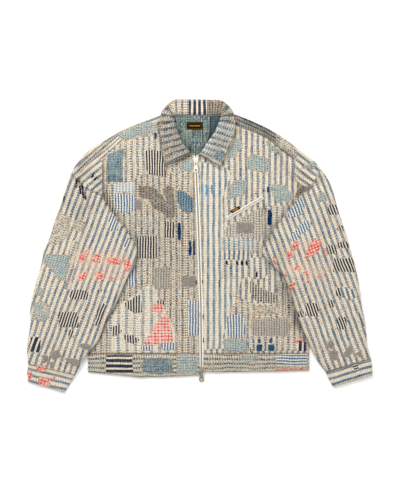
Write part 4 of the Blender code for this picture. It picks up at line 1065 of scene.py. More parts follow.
CUFFS = {
    -1: ((-425.2, 23.5, -308.9, -5.0, 0, 0.2),
         (-427, 2, -321, -26, 0, 0.4), (-426, -19, -334, -46, 0, 0.0)),
    1: ((430.4, 37.7, 317.8, 3.8, 0, 0.2),
         (433.5, 17, 326, -15, 0, 0.4), (434, -4, 336, -33, 0, 0.0)),
}
CREASE_ROW = 3  # the row of each table along which the cap folds
CAP_FOLD = {-1: ((-317, 503), (-289, 471), (-264, 459), (-240, 449)),
            1: ((304, 511), (300, 495), (287, 480), (278, 463))}
SLEEVE_FOLDS = {
    -1: (
        (((-240, 500), (-280, 492), (-312, 500)), 5, -1.6),
        (((-240, 476), (-268, 476), (-296, 486)), 5, 1.8),
        (((-322, 500), (-300, 440), (-270, 410)), 6, -1.6),
        (((-330, 470), (-316, 430), (-300, 404)), 5, 1.6),
        (((-240, 432), (-290, 420), (-330, 388)), 9, 1.6),
        (((-232, 415), (-275, 370), (-300, 318)), 12, 1.2), (((-250, 470), (-262, 520)), 8, 1.0),
        (((-160, 300), (-230, 318), (-290, 300)), 12, 1.1), (((-165, 280), (-240, 262)), 10, -0.9),
        (((-200, 200), (-300, 232), (-370, 214)), 14, 1.0), (((-280, 60), (-320, 140)), 12, 0.9),
        (((-360, 120), (-390, 300)), 16, 1.0), (((-345, 430), (-322, 380)), 9, -0.9),
        (((-300, 20), (-380, 44)), 9, 0.8),
    ),
    1: (
        (((238, 520), (268, 500), (296, 482)), 5, 2.2), (((240, 534), (276, 516), (304, 500)), 5, -1.8),
        (((242, 552), (280, 534), (312, 510)), 5, 1.8), (((240, 505), (262, 486), (282, 470)), 4, -1.8),
        (((270, 448), (310, 452), (334, 430)), 8, 1.6), (((250, 430), (285, 380), (300, 330)), 12, 1.1),
        (((246, 520), (272, 480)), 7, 1.0), (((258, 548), (292, 505)), 7, 0.9),
        (((170, 300), (240, 320), (300, 300)), 12, 1.1), (((178, 285), (250, 262)), 10, -0.9),
        (((215, 240), (300, 250), (380, 220)), 14, 0.9), (((300, 60), (340, 150)), 12, 0.9),
        (((350, 120), (384, 300)), 16, 1.0), (((345, 430), (330, 380)), 9, -0.8),
        (((322, 24), (400, 50)), 9, 0.8),
    ),
}
print(*(len(SLEEVES[side]) for side in SLEEVES), "sections")

# %% [markdown]
# Each section becomes a closed loop of points. It starts at the inner edge, goes out along the
# lower layer and comes back along the upper one. The lower layer lies on the body as far as the
# body goes and then comes down to the table. Quarter ellipses at both edges make the cloth turn
# over softly; a sharp crease would read as pressed paper.
# %% A flattened tube
RIM = np.array([0.0, 0.5, 1.6, 3.4, 6.5])  # mm from an edge to its first columns
LEAST = 4.2  # mm between the table and the top of a sleeve's middle, at the least
MIDST = 2.4  # the height of a sleeve's edge


def support(x, y):
    """How high a sleeve's underside lies: on the body, on the table, or between."""
    level = np.minimum(y, YOKE_LOW)
    half = np.where(x < 0, edge_out(-1, level), edge_out(1, level))
    beside = 1.0 - np.clip((np.abs(x) - half - 18.0) / 28.0, 0, 1)
    above = 1.0 - np.clip((y - 505.0) / 30.0, 0, 1)
    return 5.0 * beside * above + 0.15


def tube(table, folds, count, step, swell, seed):
    """The grid of a flattened tube and the same grid laid flat."""
    grid, flat = [], []
    for outer_x, outer_y, inner_x, inner_y, bow, fold in through(table, step):
        outer, inner = np.array((outer_x, outer_y)), np.array((inner_x, inner_y))
        length = np.hypot(*(inner - outer))
        rim = RIM * min(1.0, length / 40.0)
        d = np.concatenate([rim, np.linspace(rim[-1], length - rim[-1], count)[1:-1], (length - rim)[::-1]])
        t = d / length
        across = (inner - outer) / length
        toward = np.array((-across[1], across[0]))
        toward = toward * (-1 if toward[0] * outer_x > 0 else 1)
        spots = outer + np.outer(d, across) + np.outer(bow * np.sin(math.pi * t * t), toward)
        x, y = spots.T
        near = np.minimum(d, length - d)
        rise = np.sqrt(1 - (1 - np.clip(near / 7.0, 0, 1)) ** 2)
        sag = np.sqrt(1 - (1 - np.clip(near / 4.0, 0, 1)) ** 2)
        waves = 0.9 * unevenness(x, y, 46, seed) + 0.5 * unevenness(x, y, 17, seed + 1)
        waves = waves + 0.25 * unevenness(x, y, 7, seed + 2)
        high = 5.0 + fold * np.sin(math.pi * t) + swell * (1.0 + waves) + creases(x, y, folds)
        low = support(x, y)
        upper = low + MIDST + (np.maximum(high, LEAST) - MIDST) * rise
        lower = low + MIDST * (1 - sag)
        grid.append(np.concatenate([np.stack([x, y, lower], 1)[::-1], np.stack([x, y, upper], 1)[1:-1]]))
        flat.append(np.concatenate([2 * outer - spots[::-1], spots[1:]]))
    return np.array(grid), np.array(flat)


# %% [markdown]
# The cap is cut on a slant, so at the crease below it the bars change direction: the shell takes
# one flat pattern above the crease and another below. Across the bars both are measured from the
# crease. A cuff is a shorter tube whose bars run along the arm.
# %% Sleeves and cuffs
def heading(degrees):
    """A direction on the table, anticlockwise from x."""
    return math.cos(math.radians(degrees)), math.sin(math.radians(degrees))


GRAIN = {-1: heading(-20), 1: heading(20)}
CAP_GRAIN = {-1: heading(-52), 1: heading(51)}


def on_grain(flat, grain, origin):
    """Pattern coordinates whose bars stand square to a direction."""
    across, along = np.array(grain), np.array((-grain[1], grain[0]))
    return np.stack([(flat - origin) @ across, (flat - origin) @ along], 2)


for side, word in SIDES:
    fold_line = CAP_FOLD[side]
    shadow_line = [(x - side, y - 7.5) for x, y in fold_line]
    folds = SLEEVE_FOLDS[side] + ((fold_line, 5.0, 3.6), (shadow_line, 4.5, -2.8))
    grid, flat = tube(SLEEVES[side], folds, 40, 4.4, 1.4, 30 + side)
    turn_at = np.array(SLEEVES[side][CREASE_ROW][:2], float)
    split = int(np.argmin(np.hypot(*(grid[:, grid.shape[1] // 2, :2] - turn_at).T)))
    cap = on_grain(flat, CAP_GRAIN[side], turn_at)
    arm = on_grain(flat, GRAIN[side], turn_at)
    cloth("shell_sleeve_" + word, grid, cap, "striped", "sleeve_" + word, ["shell_front_" + word],
          tube=True, up=(40, 60), second=arm, split=split, cut=(0.47, 0.70))
    grid, flat = tube(CUFFS[side], (), 24, 4.0, 0.9, 50 + side)
    outer, inner = np.array(CUFFS[side][0][:4], float).reshape(2, 2)
    across = (inner - outer) / np.hypot(*(inner - outer))
    pattern = on_grain(flat, (-across[1], across[0]), outer)
    cloth("shell_cuff_" + word, grid, pattern + (3.0, 0.0), "cuff", "cuff_" + word, [],
          tube=True, up=(5, 40), cut=(0.25, 0.058))

# %% [markdown]
# ## Waistband
# The band is one long strip round the hem. Its bars lie level, so its pattern is turned a quarter.
# %% Waistband
BAND_LOW = {-1: ((0, 60, 145, 220, 276), (-4, -7, -9, -1, 4)), 1: ((0, 60, 145, 220, 276), (4, 4, 5, 6, 8))}
NEAR_ZIP = np.array([4.9, 6.5, 9.0])  # mm from the middle of the zip to the band's first columns
turn = np.linspace(math.pi / 2, -math.pi / 2, 7)
start = np.interp(19, *ZIP_LINE)
right_x = np.concatenate([start - NEAR_ZIP, np.arange(-4, -270, -5.0)])
left_x = np.concatenate([np.arange(269, 17, -5.0), start + NEAR_ZIP[::-1]])
front_right, front_left = ([(x, FRONT_Z) for x in xs] for xs in (right_x, left_x))
bend_right = [(-273.6 - 2.4 * math.cos(a), 2.6 + 2.2 * math.sin(a)) for a in turn]
behind = [(x, 0.3) for x in np.arange(-268, 269, 10.0)]
bend_left = [(273.6 + 2.4 * math.cos(a), 2.6 + 2.2 * math.sin(a)) for a in turn[::-1]]
strip = np.array(front_right + bend_right + behind + bend_left + front_left)
walk = np.concatenate([[0], np.cumsum(np.hypot(*np.diff(strip, axis=0).T))])
grid, pattern = [], []
for (x, z), s in zip(strip, walk):
    side = -1 if x < start else 1
    low = np.interp(abs(x), *BAND_LOW[side])
    t = shares(WAIST_TOP - 0.3 - low, 11)
    y = low + (WAIST_TOP - 0.3 - low) * t
    xs = np.full(len(y), x)
    zs = z + 0 * y
    if z > 4:
        swell = 1.2 + 0.7 * unevenness(xs, y, 24, 61) + 0.3 * unevenness(xs, y, 9, 62)
        drop = np.exp(-(np.minimum(y - low, WAIST_TOP - y) / 2.2) ** 2)
        zs = z + swell - 1.2 * drop
    if z > 4 and abs(x - start) < BESIDE_ZIP:
        zs = np.maximum(zs, ON_TAPE)
    grid.append(np.stack([xs, y, zs], 1))
    pattern.append(np.stack([y + 2.0, np.full(len(y), s)], 1))
cloth("shell_waistband", grid, pattern, "band", "waistband", [], up=(20, 6), inside="chambray")

# %% [markdown]
# ## Collar
# The collar is a folded band. It rolls up at its inner edge and falls outward onto the fronts. It
# is given from the right leaf's point round the neck to the left one's: x and y of the roll, x and
# y of the outer edge, how far the roll rises, and how high the cloth below lies. A lattice or a
# bevelled box could make a collar faster, but not one whose fall touches the cloth below it.
# %% Sections of the collar
COLLAR = (
    (-17.5, 547.5, -79, 519, 5.0, 4.6), (-27, 561, -83, 538, 6.5, 4.6), (-39, 576, -87.5, 559, 7.5, 4.6),
    (-47, 596, -92, 584, 8.0, 4.6), (-54, 617, -95, 611, 8.5, 4.6), (-60, 633, -96, 636, 9.0, 4.6),
    (-63, 643, -93, 652, 8.0, 4.6), (-63, 645.6, -81, 668, 6.0, 4.6), (-58, 645.8, -60, 684.5, 5.0, 2.4),
    (-31, 645.8, -31, 685, 4.0, 0.0), (0, 645.8, 0, 685, 4.0, 0.0), (28, 645.8, 28, 684.5, 4.0, 0.0),
    (51, 645.8, 60, 681, 5.0, 2.4), (56, 645.4, 79, 665, 6.0, 4.6), (55, 641, 89, 647, 8.0, 4.6),
    (51, 630, 92, 626, 9.0, 4.6), (44, 612, 90, 599, 8.5, 4.6), (34, 594, 83, 580, 8.0, 4.6),
    (21, 577, 74, 563, 7.5, 4.6), (11, 561, 67, 540, 6.5, 4.6), (2.5, 547.5, 55, 516, 5.0, 4.6),
)
collar_rows = through(COLLAR, 3.4)
print(len(COLLAR), "sections became", len(collar_rows))

# %% [markdown]
# Each section climbs steeply over the roll and then comes down to where the fall lies on whatever
# a plumb line finds below it. The bars run across the leaves, because the band is cut along the
# cloth. Behind the neck it is pieced from other bolts, one of them with broad navy bars.
# %% Collar
ON_BACK = 4  # an edge that lies higher than this is on the fronts
middle = (collar_rows[:, 0:2] + collar_rows[:, 2:4]) / 2
walk = np.concatenate([[0], np.cumsum(np.hypot(*np.diff(middle, axis=0).T))])
grid, pattern = [], []
body = ["shell_front_right", "shell_front_left", "shell_yoke_right", "shell_yoke_left"]
for k, (roll_x, roll_y, edge_x, edge_y, rise, under) in enumerate(collar_rows):
    roll, edge = np.array((roll_x, roll_y)), np.array((edge_x, edge_y))
    length = np.hypot(*(edge - roll))
    leaf = np.linspace(7.5, length - 3.0, 11)
    d = np.concatenate([[1.6, 0.2, 0.0, 1.0, 2.6, 4.8], leaf, [length - 1.2, length]])
    spots = roll + np.outer(d / length, edge - roll)
    ends = ease(min(walk[k], walk[-1] - walk[k]) / 7.0)
    crest = (rise + 3.4) * (0.55 + 0.45 * ends)
    swing = 0.5 + 0.5 * np.cos(math.pi * np.clip((d - 5) / (length - 10), 0, 1))
    fall = 3.0 + (crest - 3.0) * swing ** 1.15
    climb = crest * np.array([0.62, 0.84, 0.96])
    profile = np.concatenate([[0.3, 1.4, 3.0], climb, fall[6:-2], [2.6, 1.4]])
    x, y = spots.T
    profile[3:] += 0.5 * unevenness(x, y, 22, 71)[3:] + 0.3 * unevenness(x, y, 8, 72)[3:]
    tip = -1.0 * (1 - ease(min(walk[k], walk[-1] - walk[k]) / 3.0))
    below = np.full(len(d), under)
    if under > ON_BACK:
        for m in range(6, len(d)):
            tops = [hit.z / MM for hit, _ in plumb(x[m], y[m], body) if hit is not None]
            below[m] = max([under] + tops)
    grid.append(np.stack([x, y, np.maximum(below + profile + tip, 0.55)], 1))
    reach = np.concatenate([[-4.0, -2.6, -1.0], d[3:] + 2.0])
    pattern.append(np.stack([np.full(len(d), walk[k]), reach], 1))
grid, pattern = np.array(grid), np.array(pattern)
centre = float(np.interp(2.3, middle[:, 0][middle[:, 1] > 655], walk[middle[:, 1] > 655]))
pattern[..., 0] += 6.2 - centre
collar = cloth("shell_collar", grid, pattern, "collar", "collar", body, up=(12, 10))
for fabric in ("dense", "collar_bars", "nape", "leaf"):
    collar.data.materials.append(fabrics[fabric])
pieced = ((-66.0, -24.0, 1), (-24.0, 21.0, 2), (21.0, 62.0, 3))
for face, x, y in faces_on_table(collar):
    for low, high, index in pieced:
        if low < x < high and y > 645.9:
            face.material_index = index
    if x > 0 and y < 628:
        face.material_index = 4
print("collar roll, in mm above the table:", round(float(grid[..., 2].max()), 1))

# %% [markdown]
# ## Pockets
# The patch pockets have slanted mouths. Each is given by its two edges: heights, then x of the
# edge nearer the right side, then x of the other. A hand has pulled each mouth a little open, so
# the cloth stands higher along it than along the three sewn edges.
# %% Pockets
POCKETS = {
    -1: ((51, 92, 125, 130, 180, 196, 226), (-219, -224, -230, -229, -188, -161, -117.5),
         (-54, -50, -65, -68, -93, -100, -115)),
    1: ((51, 92, 128, 150, 174, 200, 216, 243), (59, 56, 68, 77, 86, 100, 108, 120),
        (234, 236, 238, 237, 231, 196, 158, 123.5)),
}
MOUTH = {-1: ((-117, 225), (-92, 180), (-66, 130)), 1: ((122, 243), (160, 216), (198, 200), (233, 176))}
for side, word in SIDES:
    ys, lows, highs = POCKETS[side]
    heights = heights_of(51, ys[-1] - 1, 4.4, ys)
    rows = [((np.interp(y, ys, lows), y), (np.interp(y, ys, highs), y)) for y in heights]
    grid = panel(rows, 36)
    x, y = grid[..., 0], grid[..., 1]
    for point in grid.reshape(-1, 3):
        point[2] = land(point[0], point[1], ["shell_front_" + word])[0][2]
    away = distance(x, y, MOUTH[side])
    high = 1.1 + 0.5 * unevenness(x, y, 20, 81) + 1.0 * np.exp(-(away / 16.0) ** 2)
    grid[..., 2] += turned_down(high, x, y, rim_lines(grid), 0.9, 1.8)
    cloth("shell_pocket_" + word, grid, grid[..., :2] + (4.0, 0.0), "wide" if side < 0 else "striped",
          "pocket_" + word, ["shell_front_" + word])

# %% [markdown]
# ## The zip
# Each tape is a strip of white cotton whose outer edge lies under its front. Its inner edge is
# thickened into a cord that the teeth are clamped to, so a row of seven heights across the tape
# gives it its form.
# %% Zip tapes
for side, word in SIDES:
    grid = []
    for y in heights_of(1.0, ZIP_TOP - 2, 5.0):
        x = zip_x(y) + side * np.array([1.5, 2.0, 2.8, 3.8, 5.0, 6.6, 8.7])
        z = np.array([4.6, 5.15, 5.0, 4.9, 4.5, 4.0, 3.8])
        grid.append(np.stack([x, np.full(7, y), z], 1))
    grid = np.array(grid)
    flat = grid[..., :2] - np.stack([zip_x(grid[..., 1]), 0 * grid[..., 1]], 2)
    cloth("shell_zip_tape_" + word, grid, flat, "tape", "zip_tape_" + word, ["shell_front_" + word],
          wall=0.7, cut=(0.012, 0.545))

# %% [markdown]
# A tooth is a small block with a worn crown, and so is a stop. A list of places makes a whole
# chain of them a single mesh; an array modifier can't follow a zip that bends.
# %% Blocks
def blocks(name, places, size, crown, node, finish):
    """One mesh of many small blocks; a place is (x, y, z of the foot, turn)."""
    long, wide, high = size
    foot = np.array([(-1, -1, 0), (1, -1, 0), (1, 1, 0), (-1, 1, 0)], float) / 2
    points = np.concatenate([foot, foot + (0, 0, 0.62), foot * (crown, crown, 1) + (0, 0, 1.0)])
    points = points * (long, wide, high)
    sides = [(8, 9, 10, 11), (3, 2, 1, 0)]
    for low in (0, 4):
        sides += [(low + a, low + (a + 1) % 4, low + 4 + (a + 1) % 4, low + 4 + a) for a in range(4)]
    places = np.asarray(places, float)
    c, s = np.cos(places[:, 3]), np.sin(places[:, 3])
    x = places[:, 0, None] + points[:, 0] * c[:, None] - points[:, 1] * s[:, None]
    y = places[:, 1, None] + points[:, 0] * s[:, None] + points[:, 1] * c[:, None]
    z = places[:, 2, None] + points[:, 2]
    all_points = to_world(np.stack([x, y, z], 2).reshape(-1, 3))
    faces = (np.array(sides)[None] + 12 * np.arange(len(places))[:, None, None]).reshape(-1, 4)
    mesh = bpy.data.meshes.new(name)
    mesh.from_pydata(all_points.tolist(), [], faces.tolist())
    mesh.materials.append(finish)
    obj = bpy.data.objects.new(name, mesh)
    scene.collection.objects.link(obj)
    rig.ride(obj, BODY)
    if node:
        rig.replaces(obj, node)
    return obj


# %% [markdown]
# Brass that is rubbed daily keeps a pale, dull shine, and plated nickel goes grey in spots, so
# one noise drives both the tarnish and the roughness. Enamel is glass on metal: it isn't metallic
# itself, it has a thin coat of gloss, and it chips where the pull has struck it.
# %% Metal and enamel
def metal(name, colour, tarnish, rough, metallic=1.0, scale=900.0, cover=(0.5, 0.66), coat=0.0):
    """Metal or enamel with tarnish or chips in patches."""
    made = bpy.data.materials.new(name)
    made.use_nodes = True
    tree = made.node_tree
    shader = tree.nodes["Principled BSDF"]
    spot = add(tree, "TexCoord", out=3)
    cloud = add(tree, "TexNoise", spot, sockets={"Scale": scale, "Detail": 4.0, "Roughness": 0.6})
    share = add(tree, "MapRange", cloud, sockets={"From Min": cover[0], "From Max": cover[1]})
    mixed = add(tree, "Mix", sockets={0: share, 6: dye(colour), 7: dye(tarnish)}, **OVER)
    tree.links.new(mixed, shader.inputs["Base Color"])
    limits = {"From Min": 0.3, "From Max": 0.7, "To Min": rough, "To Max": min(1.0, rough + 0.25)}
    dull = add(tree, "MapRange", cloud, sockets=limits)
    tree.links.new(dull, shader.inputs["Roughness"])
    fine = add(tree, "TexNoise", spot, sockets={"Scale": scale * 3, "Detail": 2.0})
    bump = add(tree, "Bump", sockets={"Height": fine, "Strength": 0.35, "Distance": 0.00008})
    tree.links.new(bump, shader.inputs["Normal"])
    shader.inputs["Metallic"].default_value = metallic
    shader.inputs["Coat Weight"].default_value = coat
    return made


brass = metal("pale worn brass", "#E3D3B4", "#BFA981", 0.42, metallic=0.75, cover=(0.45, 0.7))
enamel = metal("chipped white enamel", "#F1EEE6", "#B9B2A0", 0.32, metallic=0.0, scale=420.0,
               cover=(0.66, 0.70), coat=0.3)
nickel = metal("aged nickel plate", "#C2BDAC", "#7D786A", 0.30, scale=500.0)
print("metals:", brass.name, enamel.name, nickel.name, sep=" / ")

# %% [markdown]
# The teeth stand at a pitch of 2 mm on each tape, left and right in turn, so the chain has one
# every millimetre. The sliders and their pulls are the solids themselves, so they only get their
# metal and a bevel that rounds off the edges: white enamel above, grey nickel below.
# %% Teeth, sliders and pulls
MESH = 0.55  # mm from the middle of the zip to the middle of a tooth
places = []
for k, y in enumerate(np.arange(12.0, 531.0, 1.0)):
    places.append((zip_x(y) + (MESH if k % 2 else -MESH), y, 4.1, 0.0))
teeth = blocks("teeth_front_zip", places, (2.3, 0.86, 1.35), 0.66, "zip_chain", brass)
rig.slot(teeth, "zip_teeth")
STOP_Y = 541.2
stop_places = [(zip_x(STOP_Y) + x, STOP_Y, 4.8, 0.0) for x in (-2.0, 2.0)]
stops = blocks("stops_front_zip", stop_places, (2.2, 3.4, 1.5), 0.8, None, enamel)
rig.slot(stops, "white_enamel")
for name in ("slider_top", "pull_top", "slider_bottom", "pull_bottom"):
    node = frame["nodes"][name]
    node.data.materials.clear()
    node.data.materials.append(enamel if name.endswith("top") else nickel)
    soft = node.modifiers.new("worn_edges", "BEVEL")
    soft.width = 0.22 * MM
    soft.segments = 2
    soft.limit_method = "ANGLE"
print("front zip:", len(places), "teeth")

# %% [markdown]
# The chest pocket closes with a fine zip on a slant, between two narrow tapes. It is laid on the
# front by asking for the height below each of its points, so it follows the folds there.
# %% Chest zip
def strip_between(start, end, offsets, step, names, lift):
    """A strip along a straight line: its grid, laid on some shells, and the same laid flat."""
    start, end = np.array(start, float), np.array(end, float)
    length = np.hypot(*(end - start))
    way = (end - start) / length
    square = np.array((-way[1], way[0]))
    grid, flat = [], []
    for s in heights_of(0.0, length, step):
        row = [start + way * s + square * o for o in offsets]
        grid.append([(*p, land(p[0], p[1], names)[0][2] + h) for p, h in zip(row, lift)])
        flat.append([(o, s) for o in offsets])
    return np.array(grid), np.array(flat, float)


ZIP_FROM, ZIP_TO = (69.5, 386.0), (161.5, 440.5)
below = ["shell_front_left"]
across = (-4.9, -4.4, -2.4, -0.9, 0.9, 2.4, 4.4, 4.9)
grid, flat = strip_between(ZIP_FROM, ZIP_TO, across, 3.0, below, (0.5, 1.0, 1.0, 0.5, 0.5, 1.0, 1.0, 0.5))
cloth("shell_chest_zip", grid, flat, "tape", "chest_zip", below, wall=0.5)
way = math.atan2(ZIP_TO[1] - ZIP_FROM[1], ZIP_TO[0] - ZIP_FROM[0])
places = []
for s in np.arange(3.0, 104.0, 0.9):
    x, y = ZIP_FROM[0] + s * math.cos(way), ZIP_FROM[1] + s * math.sin(way)
    places.append((x, y, land(x, y, below)[0][2] + 0.6, way))
chest_teeth = blocks("teeth_chest_zip", places, (0.6, 2.3, 1.0), 0.7, None, brass)
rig.slot(chest_teeth, "zip_teeth")
print("chest zip:", len(places), "teeth")

# %% [markdown]
# A folded tab of black damask is sewn on beside the zip's lower end, and the neck label is woven
# in black with an ochre frame. Both are damask: a glossy figure in the same weave as a matt
# ground, which from here is only a second colour. So the figure is given to the faces that it
# covers. The space inside the label's frame carries nothing but one plain line.
# %% Tab and neck label
TAB_AT = np.array((91.8, 409.3))
TAB_HALF = 12.2
along_tab, across_tab = np.array(heading(30)), np.array(heading(120))
ends = [TAB_AT + k * TAB_HALF * along_tab for k in (-1, 1)]
across = (-4.0, -3.2, -2.5, 0.0, 2.5, 3.2, 4.0)
lift = (0.6, 1.1, 1.4, 1.5, 1.4, 1.1, 0.6)
grid, flat = strip_between(*ends, across, 1.6, ["shell_chest_zip", "shell_front_left"], lift)
tab = cloth("shell_chest_tab", grid, flat, "black", "chest_tab", below, wall=0.6)
tab.data.materials.append(fabrics["ochre"])
for face, x, y in faces_on_table(tab):
    place = np.array((x, y)) - TAB_AT
    if abs(place @ along_tab) < 7.4 and abs(place @ across_tab) < 2.5:
        face.material_index = 1

xs = np.array([-20.5, -19.8, -18.6, -17.2, *np.arange(-15.0, 15.1, 1.5), 17.2, 18.6, 19.8, 20.5])
ys = np.array([-9.5, -8.9, -7.9, -6.7, -4.0, -1.5, 1.5, 4.0, 6.7, 7.9, 8.9, 9.5])
grid = np.array([[(LABEL_SPOT[0] + x, LABEL_SPOT[1] + y, 0) for x in xs] for y in ys], float)
for point in grid.reshape(-1, 3):
    point[2] = land(point[0], point[1], ["shell_back"])[0][2] + 0.75
grid[..., 2] = turned_down(grid[..., 2], grid[..., 0], grid[..., 1], rim_lines(grid), 0.5, 0.8)
label = cloth("shell_neck_label", grid, grid[..., :2], "black", "neck_label", ["shell_back"], wall=0.5)
label.data.materials.append(fabrics["ochre"])
label.data.materials.append(fabrics["bronze"])
for face, x, y in faces_on_table(label):
    x, y = abs(x - LABEL_SPOT[0]), abs(y - LABEL_SPOT[1])
    if (17.2 < x < 18.6 and y < 7.9) or (6.7 < y < 7.9 and x < 18.6):
        face.material_index = 2
    if y < 1.5 and x < 13.0:
        face.material_index = 1

# %% [markdown]
# ## Patches
# A patch is cut freely, and each was put where the cloth had worn through, so their outlines are
# given one by one. A panel's name stands for the shells that its patches may lie on, with the panel's
# own shell first, and a turn slants the bars of its patches along with it. The small mends of one
# fabric on one panel are one mesh.
# %% Panels that carry patches
UNDER = {
    "right": "front_right yoke_right", "left": "front_left yoke_left",
    "pocket_right": "pocket_right front_right", "pocket_left": "pocket_left front_left",
    "sleeve_right": "sleeve_right cuff_right", "sleeve_left": "sleeve_left cuff_left",
    "yoke_left": "yoke_left front_left sleeve_left",
    "shoulder_right": "yoke_right front_right sleeve_right",
    "cuff_left": "cuff_left", "band": "waistband", "collar": "collar", "neck": "back",
}
UNDER = {panel_name: ["shell_" + word for word in words.split()] for panel_name, words in UNDER.items()}
TURN = {"cuff_left": -70, "sleeve_right": -20, "sleeve_left": 20, "shoulder_right": -48, "yoke_left": 48,
        "band": 90}
print(len(UNDER), "panels to patch")

# %% [markdown]
# Fourteen patches are large enough to have solids of their own, and a worker would cut and pin
# them first. Each is given by its solid's name, its panel, its fabric and its outline in mm.
# %% Large patches
LARGE = (
    ("patch_denim_chest", "right", "denim", ((-232, 478), (-189, 478), (-188, 530), (-184, 563),
     (-208, 556), (-228, 546))),
    ("patch_dark_stripe", "right", "ticking", ((-133, 558), (-92, 556), (-88, 541), (-84, 520),
     (-81, 491), (-124, 496), (-133, 518))),
    ("patch_taupe", "right", "taupe", ((-149, 470), (-126, 469), (-103, 463), (-97, 446), (-90, 452),
     (-88, 464), (-75, 470), (-62, 463), (-60, 432), (-57, 408), (-59, 389), (-78, 387), (-93, 404),
     (-114, 413), (-121, 433), (-142, 438), (-151, 449))),
    ("patch_blue_dots", "right", "dotted", ((-54, 458), (-37, 457), (-19, 443), (-13, 434), (-13, 402),
     (-32, 401), (-43, 408), (-48, 423), (-55, 427))),
    ("patch_sky_stripe", "right", "sky", ((-217, 449), (-167, 450), (-159, 441), (-158, 405), (-193, 400),
     (-206, 413))),
    ("patch_pale_neck", "left", "pale", ((92, 589), (106, 584), (111, 570), (101, 558), (91, 541),
     (69, 533), (76, 556), (85, 576))),
    ("patch_pale_shoulder", "left", "pale", ((118, 522), (124, 541), (137, 551), (155, 543), (169, 539),
     (177, 525), (178, 507), (166, 502), (147, 506), (124, 512))),
    ("patch_pale_chest", "left", "pale", ((90, 482), (114, 484), (119, 479), (118, 454), (114, 443),
     (91, 441), (76, 433), (67, 438), (77, 456), (81, 472))),
    ("patch_pale_armhole", "left", "pale", ((176, 471), (193, 473), (208, 470), (220, 471), (223, 457),
     (235, 451), (235, 437), (228, 430), (208, 431), (196, 426), (188, 441), (183, 456))),
    ("patch_chest_panel", "left", "panel", ((64, 362), (112, 391), (158, 418), (171, 398), (160, 350),
     (142, 302), (106, 292), (66, 300))),
    ("patch_gingham", "pocket_right", "gingham", ((-84, 150), (-74, 140), (-66, 106), (-62, 76),
     (-140, 72), (-118, 106), (-98, 134))),
    ("patch_pocket_blue", "pocket_left", "sky", ((70, 146), (112, 148), (118, 110), (112, 88), (76, 90),
     (66, 116))),
    ("patch_pocket_taupe", "pocket_left", "ribbed", ((130, 137), (178, 141), (226, 136), (232, 112),
     (220, 94), (132, 95))),
    ("patch_denim_hem", "band", "denim", ((-143, 26), (-132, 39), (-100, 41), (-64, 38), (-64, 4),
     (-100, -2), (-138, 2))),
)
print(len(LARGE), "large patches")

